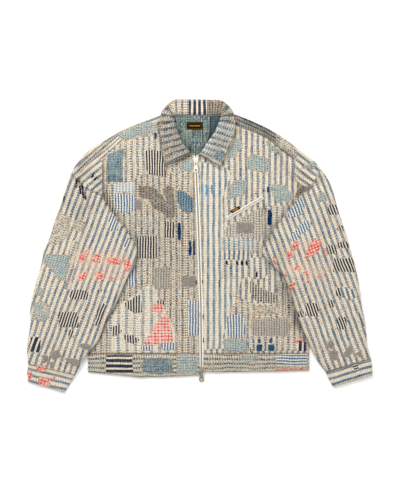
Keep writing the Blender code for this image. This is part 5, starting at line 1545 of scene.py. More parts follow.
# %% [markdown]
# The small mends are given by panel, fabric and then their outlines. Four bare numbers are a box:
# from x to x and from y to y. On the right front, pale and speckled pieces lie round dark
# ticking. On the left one, bright blue bars stand beside the zip, and a row of small ink-blue
# blocks runs above the pocket.
# %% Small mends on the fronts
MENDS = (
    ("right", "sewn", ((-236, 560), (-236, 474), (-165, 476), (-150, 494), (-60, 500), (-58, 560),
     (-100, 598), (-175, 584))),
    ("right", "pale", ((-46, 506), (-13, 504), (-13, 534), (-28, 537), (-44, 530)), ((-204, 598),
     (-172, 612), (-139, 626), (-106, 628), (-100, 604), (-150, 590), (-180, 582), (-200, 584))),
    ("shoulder_right", "narrow", ((-306, 507), (-297, 523), (-286, 536), (-274, 547), (-261, 557),
     (-249, 565), (-236, 574), (-224, 583), (-211, 590), (-201, 595), (-194, 587), (-212, 572),
     (-240, 553), (-262, 537), (-279, 521), (-292, 501))),
    ("shoulder_right", "double_line", ((-252, 540), (-226, 568), (-200, 594), (-188, 584), (-212, 556),
     (-240, 528))),
    ("right", "plain_taupe", ((-158, 432), (-146, 436), (-140, 420), (-142, 406), (-157, 410)), (-42, -4,
     216, 244)),
    ("right", "speckle", ((-99, 467), (-94, 452), (-88, 440), (-77, 428), (-83, 442), (-89, 454),
     (-92, 468)), ((-136, 432), (-130, 438), (-122, 434), (-121, 424), (-128, 420), (-135, 424))),
    ("right", "broken", ((-238, 450), (-224, 450), (-208, 412), (-200, 396), (-212, 392), (-232, 420))),
    ("right", "ticking", (-86, -61, 339, 379), (-154, -104, 289, 344)),
    ("right", "navy", (-52, -45, 334, 379), (-24, -17.5, 294, 334), (-13.5, -7, 294, 334), (-111, -104,
     586, 601)),
    ("right", "sky_faded", (-214, -160, 452, 478)),
    ("right", "sky", (-181, -156, 219, 269), (-26, 2, 94, 184)),
    ("right", "ribbed", (-111, -69, 211, 266)),
    ("left", "clean", ((14, 60), (70, 62), (84, 120), (110, 250), (64, 300), (60, 440), (84, 500),
     (60, 520), (2, 530), (6, 330))),
    ("left", "plain_taupe", (93, 135, 350, 378)),
    ("left", "taupe", ((239, 436), (262, 450), (266, 473), (248, 466))),
    ("left", "pale", ((168, 582), (182, 572), (206, 556), (214, 544), (196, 548), (172, 564))),
    ("left", "navy", (159, 165, 454, 461), (171, 176, 451, 469), (173, 183, 371, 409)),
    ("left", "bright", (4.6, 9.4, 491, 504), (6, 10.5, 444, 472), (18, 23, 444, 472), (30.5, 35.5, 447,
     472), (6.5, 11.3, 424, 438)),
    ("left", "steel", ((54, 286), (168, 290), (176, 250), (160, 236), (60, 238), (48, 262))),
    ("left", "faded_bars", ((50, 308), (52, 340), (128, 342), (150, 330), (152, 306))),
    ("left", "blue_bars", (54, 128, 284, 309)),
    ("left", "ink", (68, 73, 271, 281), (94.5, 100, 270.5, 282), (106, 112, 270.5, 283), (118, 123.5,
     270.5, 283), (142, 146.5, 242, 256), (50, 53.5, 222, 234)),
    ("yoke_left", "speckle", ((196, 604), (222, 586), (246, 562), (244, 538), (226, 552), (204, 570),
     (192, 580))),
    ("left", "sewn", (166, 238, 300, 420)),
    ("pocket_left", "dense", ((84, 170), (112, 190), (130, 176), (170, 172), (204, 150), (150, 146),
     (128, 138), (120, 96), (118, 60), (84, 58), (72, 100))),
    ("pocket_left", "sewn", ((124, 172), (146, 176), (200, 176), (240, 150), (262, 58), (124, 56),
     (120, 96), (128, 140))),
    ("pocket_left", "dense", ((196, 236), (214, 226), (240, 160), (262, 110), (262, 84), (236, 100),
     (226, 140), (208, 160), (196, 176))),
    ("pocket_left", "speckle", ((72, 222), (86, 218), (90, 200), (104, 196), (98, 184), (80, 190),
     (70, 206)), ((60, 164), (82, 164), (80, 150), (64, 148)), ((140, 168), (200, 170), (206, 150),
     (140, 150))),
    ("collar", "denim", ((40, 548), (60, 560), (66, 544), (56, 528), (40, 532))),
)
print(sum(len(shapes) for _, _, *shapes in MENDS), "mends on the fronts and the shoulders")

# %% [markdown]
# The sleeves are mended at the elbows and along their outer edges, where they wear first. Worn
# gingham runs across both of them in a broken line, and small slips of ink-blue cotton hold the
# cloth together below the right cap.
# %% Small mends on the right sleeve
MENDS += (
    ("sleeve_right", "speckle", ((-376, 386), (-346, 404), (-318, 384), (-326, 340), (-362, 318),
     (-384, 340)), ((-316, 372), (-298, 388), (-280, 378), (-288, 358), (-308, 356))),
    ("sleeve_right", "pale", ((-384, 299), (-319, 297), (-321, 262), (-336, 232), (-350, 236),
     (-372, 262), (-386, 276)), (-406, -389, 196, 214), ((-410, 176), (-388, 182), (-370, 168),
     (-372, 138), (-396, 128), (-416, 140))),
    ("sleeve_right", "speckle", ((-392, 172), (-376, 170), (-374, 150), (-384, 146)), ((-412, 150),
     (-398, 152), (-394, 134), (-408, 136))),
    ("sleeve_right", "worn_gingham", ((-297, 294), (-280, 308), (-268, 310), (-276, 296), (-285, 277),
     (-297, 283)), ((-269, 286), (-254, 299), (-242, 295), (-245, 274), (-258, 277)), ((-229, 287),
     (-218, 292), (-195, 288), (-195, 272), (-218, 274), (-229, 279)), ((-188, 290), (-168, 279),
     (-170, 259), (-178, 254), (-185, 268)), ((-304, 239), (-296, 251), (-281, 256), (-279, 241),
     (-289, 233), (-301, 233)), ((-262, 250), (-250, 258), (-233, 247), (-235, 233), (-250, 236)),
     ((-222, 238), (-210, 242), (-213, 226)), ((-197, 237), (-186, 245), (-183, 236))),
    ("sleeve_right", "sewn", ((-316, 332), (-300, 332), (-318, 210), (-334, 210))),
    ("sleeve_right", "ticking", (-321, -274, 186, 209), (-349, -299, 116, 154), ((-259, 119), (-246, 122),
     (-229, 172), (-238, 179), (-252, 160)), (-324, -311, 91, 109)),
    ("sleeve_right", "ink", ((-271, 488), (-262, 501), (-258, 500), (-264, 490)), ((-263, 480),
     (-254, 493), (-250, 490), (-257, 481)), (-300, -295, 478, 489), (-306, -302, 462, 486), ((-299, 468),
     (-295, 470), (-291, 448), (-296, 446)), ((-291, 470), (-287, 470), (-284, 438), (-289, 438)),
     ((-285, 447), (-281, 448), (-278, 434), (-283, 433)), ((-336, 444), (-332, 444), (-335, 428),
     (-338, 430))),
    ("sleeve_right", "navy_bars", (-419, -394, 54, 91)),
    ("sleeve_right", "sky", (-224, -201, 356, 401), (-186, -171, 316, 339)),
    ("sleeve_right", "plain_taupe", ((-392, 46), (-376, 48), (-372, 30), (-388, 26)), ((-368, 56),
     (-348, 60), (-342, 42), (-360, 34), (-370, 42)), ((-336, 40), (-300, 38), (-298, 22), (-314, 18)),
     ((-298, 76), (-272, 74), (-268, 60), (-290, 60)), (-371, -361, 9, 29)),
    ("sleeve_right", "worn_gingham", ((-399, -8), (-384, -6), (-369, -12), (-371, -32), (-392, -36),
     (-399, -24)), (-404, -379, 5, 20), (-427, -416, -18, 8), (-364, -356, -16, -4)),
)
print(sum(len(shapes) for _, _, *shapes in MENDS), "mends so far")

# %% [markdown]
# The left sleeve has ticking down most of its length, in ten dark pieces, and two light blue
# mends below the armhole.
# %% Small mends on the left sleeve
MENDS += (
    ("sleeve_left", "pale", ((254, 512), (276, 526), (300, 541), (304, 530), (284, 509)), (299, 319, 429,
     451)),
    ("sleeve_left", "ticking", (324, 351, 396, 421), (346, 366, 356, 369), (346, 379, 314, 329), (319,
     346, 299, 321), (336, 389, 254, 289), (266, 299, 144, 176), (246, 261, 141, 156), (324, 339, 164,
     184), (344, 369, 111, 141), (341, 364, 194, 216)),
    ("sleeve_left", "sky", ((218, 400), (240, 430), (262, 444), (264, 408), (250, 392), (226, 388)),
     ((229, 330), (228, 342), (252, 372), (266, 386), (284, 376), (276, 360), (252, 346), (242, 330))),
    ("sleeve_left", "blue_bars", ((351, 213), (368, 217), (391, 207), (397, 196), (383, 183), (366, 186),
     (355, 196)), ((395, 152), (404, 154), (411, 140), (415, 120), (408, 114), (401, 130))),
    ("cuff_left", "ticking", ((386, 27), (398, 30), (399, 8), (388, 3))),
    ("sleeve_left", "worn_gingham", ((232, 325), (249, 332), (252, 324), (240, 306), (232, 313)),
     ((218, 301), (237, 308), (239, 293), (222, 281)), (301, 306, 346, 351), ((291, 338), (305, 338),
     (305, 318), (298, 303), (268, 284), (265, 296), (271, 312), (284, 329)), ((313, 310), (321, 313),
     (322, 294), (315, 295)), ((183, 294), (197, 285), (194, 270), (186, 278)), ((231, 263), (251, 272),
     (258, 263), (238, 256)), ((212, 243), (221, 254), (223, 246), (216, 237)), ((259, 254), (273, 258),
     (273, 247), (262, 248)), ((268, 241), (278, 238), (280, 227), (270, 225)), ((225, 224), (249, 235),
     (241, 224), (238, 214), (226, 206), (223, 215)), ((293, 243), (305, 247), (301, 237))),
    ("sleeve_left", "plain_taupe", ((320, 70), (330, 88), (340, 74), (332, 60)), (326, 348, 34, 58),
     ((360, 50), (380, 74), (384, 54), (370, 38)), ((388, 52), (408, 60), (404, 40))),
)
print(sum(len(shapes) for _, _, *shapes in MENDS), "mends so far")

# %% [markdown]
# Pockets and hem are mended with whatever was left: ticking, gingham, a pair of deep blue squares
# with dark tops, navy bars on the waistband. Inside the neck lies a dark facing; it also stands for
# the shade that the collar casts into the neck, so it is partly painted shade.
# %% Small mends on the pockets, the waistband and the neck
MENDS += (
    ("pocket_right", "ticking", ((-184, 176), (-146, 198), (-140, 152), (-160, 150), (-178, 162)),
     ((-218, 118), (-196, 124), (-192, 104), (-214, 92)), ((-186, 96), (-164, 98), (-146, 84), (-160, 72),
     (-182, 82)), (-106, -84, 172, 184)),
    ("pocket_right", "gingham", ((-112, 174), (-86, 174), (-84, 158), (-100, 150), (-120, 154))),
    ("pocket_right", "sky", (-143, -114, 58, 72), (-92, -54, 58, 78)),
    ("pocket_left", "broken", ((128, 233), (146, 222), (160, 212), (196, 198), (196, 176), (146, 178),
     (129, 204))),
    ("pocket_left", "pale", ((60, 84), (86, 88), (118, 80), (124, 54), (66, 53))),
    ("pocket_left", "worn_gingham", (238, 262, 78, 86)),
    ("pocket_left", "blue", (145, 160, 56, 74), (174, 189, 56, 74)),
    ("pocket_left", "shade", (147, 155, 77, 87), (176, 185, 77, 88)),
    ("pocket_left", "navy_bars", (246, 270, 56, 80)),
    ("band", "navy_bars", (-231, -164, 1, 47)),
    ("band", "pale", (-54, -2, 0, 49), ((104, 50), (150, 48), (146, 34), (126, 28), (108, 36))),
    ("band", "sky", (194, 272, 19, 49)),
    ("band", "rose", (189, 269, 7, 16)),
    # the dark facing inside the neck is partly painted shade, where the collar shades the neck
    ("neck", "shade", ((29, 644), (66, 644), (66, 598), (46, 578), (30, 563), (16, 569), (25, 586),
     (29, 600))),
    ("neck", "blue", (-16, -9, 572, 580), (-6, 0, 573, 581)),
)
GROUNDS = "striped sewn clean dense shade steel narrow".split()  # large pieces that others lie on
CAUGHT = "pale plain_taupe taupe ribbed speckle denim dotted rose blue panel".split()  # rims sewn over
UNFRAYED = "striped clean dense shade".split()
print(len(MENDS), "groups of mends")

# %% [markdown]
# A patch is cut by eye, and its corners go soft once it is turned under and worn. So an outline
# gets a point every 2.5 mm, and these are then evened out twice and pushed about a little.
# %% A patch's outline
def soft_outline(shape, seed):
    """A closed outline with soft, uneven corners, about 2.5 mm from point to point."""
    if not hasattr(shape[0], "__len__"):
        x0, x1, y0, y1 = shape
        shape = [(x0, y0), (x1, y0), (x1, y1), (x0, y1)]
    corners = np.asarray(shape, float)
    points = []
    for a, b in zip(corners, np.roll(corners, -1, axis=0)):
        count = max(2, int(np.hypot(*(b - a)) / 2.5))
        points += [a + (b - a) * k / count for k in range(count)]
    points = np.array(points)
    for _ in range(2):
        points = (np.roll(points, 1, 0) + 2 * points + np.roll(points, -1, 0)) / 4
    x, y = points.T
    return points + 1.5 * np.stack([unevenness(x, y, 9, seed), unevenness(x, y, 9, seed + 1)], 1)


# %% [markdown]
# A patch that is sewn down stands 0.9 mm high inside and sinks at its rim. A constrained
# triangulation fills each outline with even triangles and keeps the rim; a grid would leave
# steps along it. Each point is then dropped onto whatever shell is under it, so a patch also
# follows folds and other patches.
# %% Lay a patch
rims = []  # every rim, for the sewing: panel, fabric, outline, seed
on_panel = {}  # shell: the pieces that lie on it


def lay(name, panel_name, fabric, shapes, node=None, seed=0):
    """One mesh of patches of a fabric, laid on a panel."""
    points, faces, flat, edge = [], [], [], []
    turn = math.radians(TURN.get(panel_name, 0))
    for k, shape in enumerate(shapes):
        rim = soft_outline(shape, seed + 2 * k)
        low, high = rim.min(0), rim.max(0)
        gx, gy = np.meshgrid(np.arange(low[0], high[0], 4.6), np.arange(low[1], high[1], 4.6))
        inner = np.stack([gx.ravel(), gy.ravel()], 1)
        loop = np.concatenate([rim, rim[:1]])
        crossings = np.zeros(len(inner), int)
        for (ax, ay), (bx, by) in zip(loop, loop[1:]):
            spans = (ay > inner[:, 1]) != (by > inner[:, 1])
            at = ax + (inner[:, 1] - ay) / (by - ay + 1e-12) * (bx - ax)
            crossings += spans & (inner[:, 0] < at)
        keep = (crossings % 2 == 1) & (distance(inner[:, 0], inner[:, 1], loop) > 1.8)
        spots = np.concatenate([rim, inner[keep]])
        made = delaunay_2d_cdt([Vector(p) for p in spots], [], [list(range(len(rim)))], 1, 1e-6)
        spots = np.array([tuple(p) for p in made[0]])
        away = distance(spots[:, 0], spots[:, 1], loop)
        start = len(points)
        for (x, y), d in zip(spots, away):
            place, normal = land(x, y, UNDER[panel_name])
            points.append(place + normal * (0.12 + 0.75 * ease(d / 2.2)))
        faces += [tuple(start + i for i in face) for face in made[2]]
        flat += (spots @ np.array([(math.cos(turn), -math.sin(turn)), (math.sin(turn), math.cos(turn))])
                 + (3.7 * k, 1.9 * k)).tolist()
        edge += np.clip(away / FRAY, 0, 1).tolist()
        rims.append((panel_name, fabric, rim, seed + k))
    world = to_world(np.array(points))
    flipped = []
    for face in faces:
        a, b, c = (world[i] for i in face[:3])
        flipped.append(face if np.cross(b - a, c - a)[2] > 0 else face[::-1])
    mesh = bpy.data.meshes.new(name)
    mesh.from_pydata(world.tolist(), [], flipped)
    layer = mesh.uv_layers.new(name="pattern")
    corner = np.array([flat[i] for face in flipped for i in face]) * MM
    layer.data.foreach_set("uv", corner.reshape(-1).astype(np.float32))
    carry(mesh, "edge", edge)
    obj = finish_cloth(bpy.data.objects.new(name, mesh), fabric, node)
    on_panel.setdefault(UNDER[panel_name][0], []).append(obj)
    shells[name] = BVHTree.FromPolygons(world.tolist(), flipped)
    UNDER[panel_name].append(name)
    if node:
        area = sum(p.area for p in mesh.polygons)
        wide, long = ((np.array(flat).max(0) - np.array(flat).min(0)) * MM).tolist()
        sheets.append((obj, (wide, long), area, [UNDER[panel_name][0]]))
    return obj


# %% [markdown]
# Mends of the ground cloth are the oldest and lie lowest. The large patches come next, and the
# other mends lie on top. Each patch goes onto the list of what is under the next one.
# %% Lay them all
for ground_first in (True, False):
    for k, (panel_name, fabric, *shapes) in enumerate(MENDS):
        if (fabric in GROUNDS) == ground_first:
            lay(f"mends_{panel_name}_{fabric}_{k}", panel_name, fabric, shapes, seed=100 + 20 * k)
    for k, (node, panel_name, fabric, shape) in enumerate(LARGE if ground_first else ()):
        lay("sewn_" + node, panel_name, fabric, [shape], node=node, seed=900 + 5 * k)
faces = sum(len(patch.data.polygons) for patches in on_panel.values() for patch in patches)
print(len(rims), "patches,", faces, "faces")

# %% [markdown]
# ## Sewing
# Sewing cotton is mercerised and then washed many times, so it is a little brighter than the cloth
# but no longer shines. One material does for every thread: a value called `tone` on each stitch
# picks the colour, and a fine diagonal wave in the bump is the twist of the yarn.
# %% Thread
NAVY, RED, SAND, MILK = 0.1, 0.2, 0.4, 0.8  # tones
thread = bpy.data.materials.new("washed sewing cotton")
thread.use_nodes = True
tree = thread.node_tree
tone = add(tree, "Attribute", attribute_name="tone", out=2)
place = add(tree, "TexCoord", out=3)
lint = add(tree, "TexNoise", place, sockets={"Scale": 700.0, "Detail": 2.0})
dark = add(tree, "Math", tone, (NAVY + RED) / 2, operation="LESS_THAN")
red = add(tree, "Math", tone, 0.25, operation="LESS_THAN")
light = add(tree, "Math", tone, (SAND + MILK) / 2, operation="GREATER_THAN")
colour = dye("#CBA577")
for share, yarn in ((light, "#EFE2CB"), (red, "#D8363F"), (dark, "#161D38")):
    colour = add(tree, "Mix", sockets={0: share, 6: colour, 7: dye(yarn)}, **OVER)
limits = {"From Min": 0.3, "From Max": 0.7, "To Min": 0.82, "To Max": 1.12}
shade = add(tree, "MapRange", lint, sockets=limits)
colour = add(tree, "Mix", sockets={0: 1.0, 6: colour, 7: shade}, **TIMES)
shader = tree.nodes["Principled BSDF"]
tree.links.new(colour, shader.inputs["Base Color"])
twist = add(tree, "TexWave", place, sockets={"Scale": 420.0, "Distortion": 1.5}, bands_direction="DIAGONAL")
bump = add(tree, "Bump", sockets={"Height": twist, "Strength": 0.4, "Distance": 0.0001})
tree.links.new(bump, shader.inputs["Normal"])
shader.inputs["Roughness"].default_value = 0.9
shader.inputs["Specular IOR Level"].default_value = 0.06
shader.inputs["Sheen Weight"].default_value = 0.15


def joined(name, world, faces, tones, panel_name):
    """A mesh of thread that goes with a panel."""
    mesh = bpy.data.meshes.new(name)
    mesh.from_pydata(world.tolist(), [], faces)
    carry(mesh, "tone", tones)
    mesh.shade_smooth()
    mesh.materials.append(thread)
    obj = bpy.data.objects.new(name, mesh)
    scene.collection.objects.link(obj)
    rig.ride(obj, BODY)
    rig.slot(obj, "striped_cotton")
    on_panel.setdefault(UNDER[panel_name][0], []).append(obj)


# %% [markdown]
# A running stitch is a short, plump loop that lies half sunk in the cloth, so one stitch is
# modelled as half a spindle: three arcs and two tips, 18 triangles. Curves with a bevel would give
# rounder thread but many times the faces. A list says where each stitch lies, which way it runs
# and how long, wide and dark it is, and all of a panel's stitches join into one mesh.
# %% Stitches
SECTION = np.array([(math.cos(a), math.sin(a)) for a in np.radians((0, 60, 120, 180))])
RINGS = ((-0.32, 0.86), (0.0, 1.0), (0.32, 0.86))
LOOPS = [(4 * r + k, 4 * r + k + 1, 4 * r + k + 5, 4 * r + k + 4) for r in (0, 1) for k in range(3)]
TIPS = [(12, k + 1, k) for k in range(3)] + [(13, 8 + k, 9 + k) for k in range(3)]


def sew(name, panel_name, spots):
    """Stitches on a panel. A spot is (x, y, angle, length, width, tone)."""
    names = UNDER[panel_name]
    points, tones = [], []
    for x, y, angle, length, wide, tone_value in spots:
        dx, dy = math.cos(angle) * length / 2, math.sin(angle) * length / 2
        a, normal = land(x - dx, y - dy, names)
        b, other = land(x + dx, y + dy, names)
        way = b - a
        size = np.linalg.norm(way)
        if size > 2.2 * length or size < 0.3 * length:
            continue  # it would hang over an edge
        middle, up = (a + b) / 2, normal + other
        side = np.cross(up, way)
        side, up = side / np.linalg.norm(side), up / np.linalg.norm(up)
        ring = [middle + way * t + side * c * wide / 2 * s + up * (h * wide * 0.6 * s + 0.05)
                for t, s in RINGS for c, h in SECTION]
        points += ring + [middle - way / 2 - up * 0.1, middle + way / 2 - up * 0.1]
        tones += [tone_value] * 14
    starts = range(0, len(points), 14)
    faces = [tuple(start + i for i in face) for start in starts for face in LOOPS + TIPS]
    joined(name, to_world(np.array(points)), faces, tones, panel_name)
    return len(starts)


# %% [markdown]
# Three kinds of sewing fill those lists. A row of running stitch goes along a seam, a little
# uneven, in cotton of mixed colours. Short overcast stitches catch down a patch's rim. None is
# exact: every hand stitch differs a little in place, slant and length.
# %% Rows and rims
def along_line(line):
    """A line as an array, its steps, and how far along it each point is."""
    line = np.asarray(line, float)
    steps = np.hypot(*np.diff(line, axis=0).T)
    return line, steps, np.concatenate([[0], np.cumsum(steps)])


def run(line, stitch, gap, wide, seed, tan=0.45, dark=0.0, offset=0.0, stagger=0.25):
    """Spots for a row of running stitch along a line, to its left by offset."""
    rng = np.random.default_rng(seed)
    line, steps, at = along_line(line)
    spots = []
    s = rng.uniform(0, gap) + stitch / 2
    while s < at[-1] - stitch / 2:
        x, y = np.interp(s, at, line[:, 0]), np.interp(s, at, line[:, 1])
        k = min(np.searchsorted(at, s, side="right") - 1, len(steps) - 1)
        dx, dy = (line[k + 1] - line[k]) / max(steps[k], 1e-9)
        push = offset + rng.normal(0, stagger)
        value = rng.uniform()
        tone_value = NAVY if value < dark else SAND if value < dark + tan else MILK
        long = stitch * rng.uniform(0.75, 1.2)
        spots.append((x - dy * push, y + dx * push, math.atan2(dy, dx) + rng.normal(0, 0.09), long,
                      wide * rng.uniform(0.8, 1.15), tone_value))
        s += stitch + gap * rng.uniform(0.7, 1.4)
    return spots


def overcast(rim, seed, apart=3.1, long=3.2):
    """Spots for short stitches across a rim, the way a patch's edge is caught down."""
    rng = np.random.default_rng(seed)
    loop, steps, at = along_line(np.concatenate([rim, rim[:1]]))
    spots = []
    for s in np.arange(0, at[-1], apart):
        s = s + rng.uniform(-0.5, 0.5)
        x, y = np.interp(s, at, loop[:, 0]), np.interp(s, at, loop[:, 1])
        k = min(max(np.searchsorted(at, s, side="right") - 1, 0), len(steps) - 1)
        dx, dy = loop[k + 1] - loop[k]
        angle = math.atan2(dy, dx) + math.pi / 2 + rng.normal(0, 0.3)
        spots.append((x, y, angle, long * rng.uniform(0.7, 1.3), rng.uniform(0.75, 1.05),
                      SAND if rng.uniform() < 0.62 else MILK))
    return spots


def caught_down(panel_name):
    """Spots for the rims on a panel; the finer fabrics are turned under and show no stitches."""
    return [spot for own, fabric, rim, seed in rims if own == panel_name and fabric in CAUGHT
            for spot in overcast(rim, seed)]


# %% [markdown]
# The third kind is rows over a whole panel. They go wherever no patch covers it, which a plumb
# line tells. Besides these, a few thick stitches in dark blue or red stand alone.
# %% Rows over a panel, and stitches that stand alone
def all_over(panel_name, turn, apart, seed):
    """Spots for rows of running stitch over a whole shell, except where a patch covers it."""
    rng = np.random.default_rng(seed)
    names = UNDER[panel_name]
    base = np.array(bpy.data.objects[names[0]].bound_box) / MM - SHIFT
    c, s = math.cos(math.radians(turn)), math.sin(math.radians(turn))
    corners = base[:, :2] @ np.array(((c, -s), (s, c)))
    low, high = corners.min(0), corners.max(0)
    spots = []
    for u in np.arange(low[0] - low[0] % apart, high[0], apart):
        for v in np.arange(low[1] + rng.uniform(0, BEAD), high[1], BEAD):
            x, y = u * c + v * s + rng.normal(0, 0.3), v * c - u * s + rng.normal(0, 0.4)
            tops = [(place or DOWN).z for place, _ in plumb(x, y, names)]
            if tops[0] > 0 and tops[0] >= max(tops):
                value = rng.uniform()
                tone_value = NAVY if value < 0.14 else SAND if value < 0.5 else MILK
                angle = math.radians(90 - turn) + rng.normal(0, 0.06)
                long = BEAD * rng.uniform(0.42, 0.58)
                spots.append((x, y, angle, long, rng.uniform(0.8, 1.05), tone_value))
    return spots


# Long stitches that stand alone: x, y, angle, length, width, tone
LONE = {
    "sleeve_right": [(-264, 491, 38, 11, 3.0, NAVY), (-257, 485, 38, 9, 3.0, NAVY),
        (-296, 482, -75, 12, 2.6, NAVY), (-291, 468, -75, 12, 2.6, NAVY),
        (-288, 452, -80, 13, 2.6, NAVY), (-282, 444, -80, 11, 2.4, NAVY),
        (-335, 438, 70, 12, 2.6, NAVY), (-250, 206, 80, 8, 2.6, NAVY), (-242, 208, 80, 8, 2.6, NAVY),
        (-426, 2, 88, 12, 2.4, RED)],
    "left": [(10.5, 230, 88, 12, 2.6, NAVY), (11, 142, 88, 16, 2.6, NAVY), (13, 84, 88, 16, 2.6, NAVY),
        (52, 222, 88, 14, 2.4, NAVY), (72, 276, 88, 12, 2.6, NAVY), (146, 247, 88, 14, 3.2, NAVY),
        (97, 276, 88, 8, 2.6, NAVY), (148, 456, 30, 6, 2.4, RED), (142, 450, 30, 6, 2.4, RED),
        (94, 642, 30, 8, 3.0, RED)],
    "pocket_left": [(252, 82, 10, 12, 3.0, RED), (130, 60, 88, 12, 2.4, NAVY)],
    "band": [(258, 12, 80, 10, 3.0, RED)],
    "right": [(-6, 228, 88, 12, 2.6, NAVY), (-64, 446, 88, 9, 2.0, NAVY)],
}


def lone(panel_name):
    """Spots for a panel's long stitches."""
    return [(x, y, math.radians(a), *rest) for x, y, a, *rest in LONE.get(panel_name, ())]


print(sum(len(spots) for spots in LONE.values()), "stitches stand alone")

# %% [markdown]
# A seam shows as two pieces that dip toward each other with a row of stitches close by. The fronts
# carry rows beside the yoke, the zip, the armhole and the hem; the sleeves beside the armhole and
# the cuff; the pockets round their three sewn edges; the waistband has rows all along it; and the
# collar is sewn twice round its fall.
# %% Seams of the fronts, sleeves and pockets
APART = 7.25  # mm between the rows over a whole panel
ARMHOLE = {-1: [(-(ARMHOLE_X - 1.8), y) for y in (450, 500, 534, 575)],
           1: [(237.4, y) for y in (500, 534, 566)]}
BEYOND = {-1: [(-(ARMHOLE_X + 2.0), y) for y in (452, 500, 540, 576)],
          1: [(241.5, 566), (247, 520), (256, 490), (270, 467)]}
total = 0
for side, word in SIDES:
    tag = 200 if side < 0 else 300
    yoke = [(side * o, y) for o, y in sorted((o, y) for y, o in zip(*EDGE[side]) if y >= YOKE_LOW)]
    spots = run(yoke, 2.6, 1.6, 0.95, tag, offset=2.6 * side)
    spots += run(yoke, 2.6, 1.6, 0.9, tag + 1, offset=-2.4 * side)
    spots += run([(zip_x(y) + side * 10.4, y) for y in np.arange(52, 540, 6.0)], 2.6, 1.5, 0.9, tag + 2)
    spots += run(ARMHOLE[side], 2.6, 1.4, 1.0, tag + 3)
    spots += run([(side * 270, 52.5), (zip_x(50) + side * 9, 52.5)], 2.4, 1.6, 0.9, tag + 4)
    spots += caught_down(word) + lone(word) + all_over(word, 0, APART, tag + 20)
    total += sew("sewing_front_" + word, word, spots)

    low, cuff = np.array(SLEEVES[side][-1]), np.array(CUFFS[side])
    spots = run(BEYOND[side], 2.6, 1.3, 1.0, tag + 5)
    spots += run([low[:2] + (side * -4, 2.4), low[2:4] + (side * 3, 3.0)], 2.4, 1.5, 0.9, tag + 6)
    for row, lift in ((0, -2.5), (2, 3.0)):
        ends = [cuff[row, :2] + (side * -3, lift), cuff[row, 2:4] + (side * 2, lift)]
        spots += run(ends, 2.4, 1.5, 0.9, tag + 7 + row)
    panel_name = "sleeve_" + word
    spots += caught_down(panel_name) + lone(panel_name) + all_over(panel_name, 20 * side, APART, tag + 21)
    total += sew("sewing_sleeve_" + word, panel_name, spots)

    ys, lows, highs = POCKETS[side]
    outline = [(a + 2.6, y) for y, a in zip(ys, lows)] + [(b - 2.6, y) for y, b in zip(ys, highs)][::-1]
    panel_name = "pocket_" + word
    spots = run(outline, 2.4, 1.5, 0.95, tag + 10) + caught_down(panel_name)
    spots += lone(panel_name) + all_over(panel_name, 0, APART, tag + 22)
    total += sew("sewing_pocket_" + word, panel_name, spots)
print(total, "stitches so far")

# %% Seams of the waistband and the collar
bottom = [(-x, np.interp(x, *BAND_LOW[-1]) + 3.2) for x in (270, 220, 145, 60, 2)]
spots = run(bottom, 2.6, 1.6, 0.95, 401)
spots += run([(16, 7.5), (145, 8.5), (270, 11)], 2.6, 1.6, 0.95, 402)
for height in (12, 22, 30, 40):
    spots += run([(-270, height + 2), (-2, height)], 2.4, 2.0, 0.9, 410 + height, dark=0.15)
    spots += run([(17, height), (270, height + 1)], 2.4, 2.0, 0.9, 430 + height, dark=0.15)
spots += run([(-270, 46.6), (0, 46.6)], 2.4, 1.5, 0.95, 403)
spots += run([(16, 46.6), (270, 46.6)], 2.4, 1.5, 0.95, 404)
total += sew("sewing_waistband", "band", spots + caught_down("band") + lone("band"))

roll_line, edge_line = collar_rows[:, 0:2], collar_rows[:, 2:4]
fall = edge_line + (roll_line - edge_line) * 0.06
second = edge_line + (roll_line - edge_line) * 0.13
spots = run(fall[2:-2], 2.6, 1.4, 0.95, 501)
spots += run(second[2:-2], 2.6, 1.8, 0.85, 502, dark=0.2)
inward = np.array((0, 3.2))
for end in (0, -1):
    a, b = roll_line[end], edge_line[end]
    spots += run([a + (b - a) * 0.06 + inward, b + inward], 2.6, 1.4, 0.95, 503 + end)
total += sew("sewing_collar", "collar", spots)
print(total, "stitches")


# %% [markdown]
# Boro frays. At the rims of its patches, at the cuffs and the hem and all along the outer edges of
# the sleeves, loose ends of thread stand away from the cloth. Hair particles could scatter them,
# but a thin tube with a lazy curve of its own is easier to place and to export. The navy cord
# that closes the facing inside the neck is one such tube, only thicker.
# %% Strands of thread
def strands(name, panel_name, lines, radius, tones_of):
    """Thin four-sided tubes along lines of points."""
    points, faces, tones = [], [], []
    for line, tone_value in zip(lines, tones_of):
        line = np.asarray(line, float)
        way = np.gradient(line, axis=0)
        side = np.cross(way, (0, 0, 1.0))
        side = side / (np.linalg.norm(side, axis=1, keepdims=True) + 1e-9)
        up = np.cross(side, way)
        up = up / (np.linalg.norm(up, axis=1, keepdims=True) + 1e-9)
        taper = radius * np.array([1.0] * (len(line) - 1) + [0.45])[:, None]
        side, up = side * taper, up * taper
        start = len(points)
        rings = np.stack([line + side, line + up, line - side, line - up], 1)
        points += list(rings.reshape(-1, 3))
        end = len(points) - 4
        for base in range(start, end, 4):
            for a, b in ((0, 1), (1, 2), (2, 3), (3, 0)):
                faces.append((base + a, base + b, base + 4 + b, base + 4 + a))
        faces += [(start + 3, start + 2, start + 1, start), (end, end + 1, end + 2, end + 3)]
        tones += [tone_value] * (4 * len(line))
    joined(name, to_world(np.array(points)), faces, tones, panel_name)


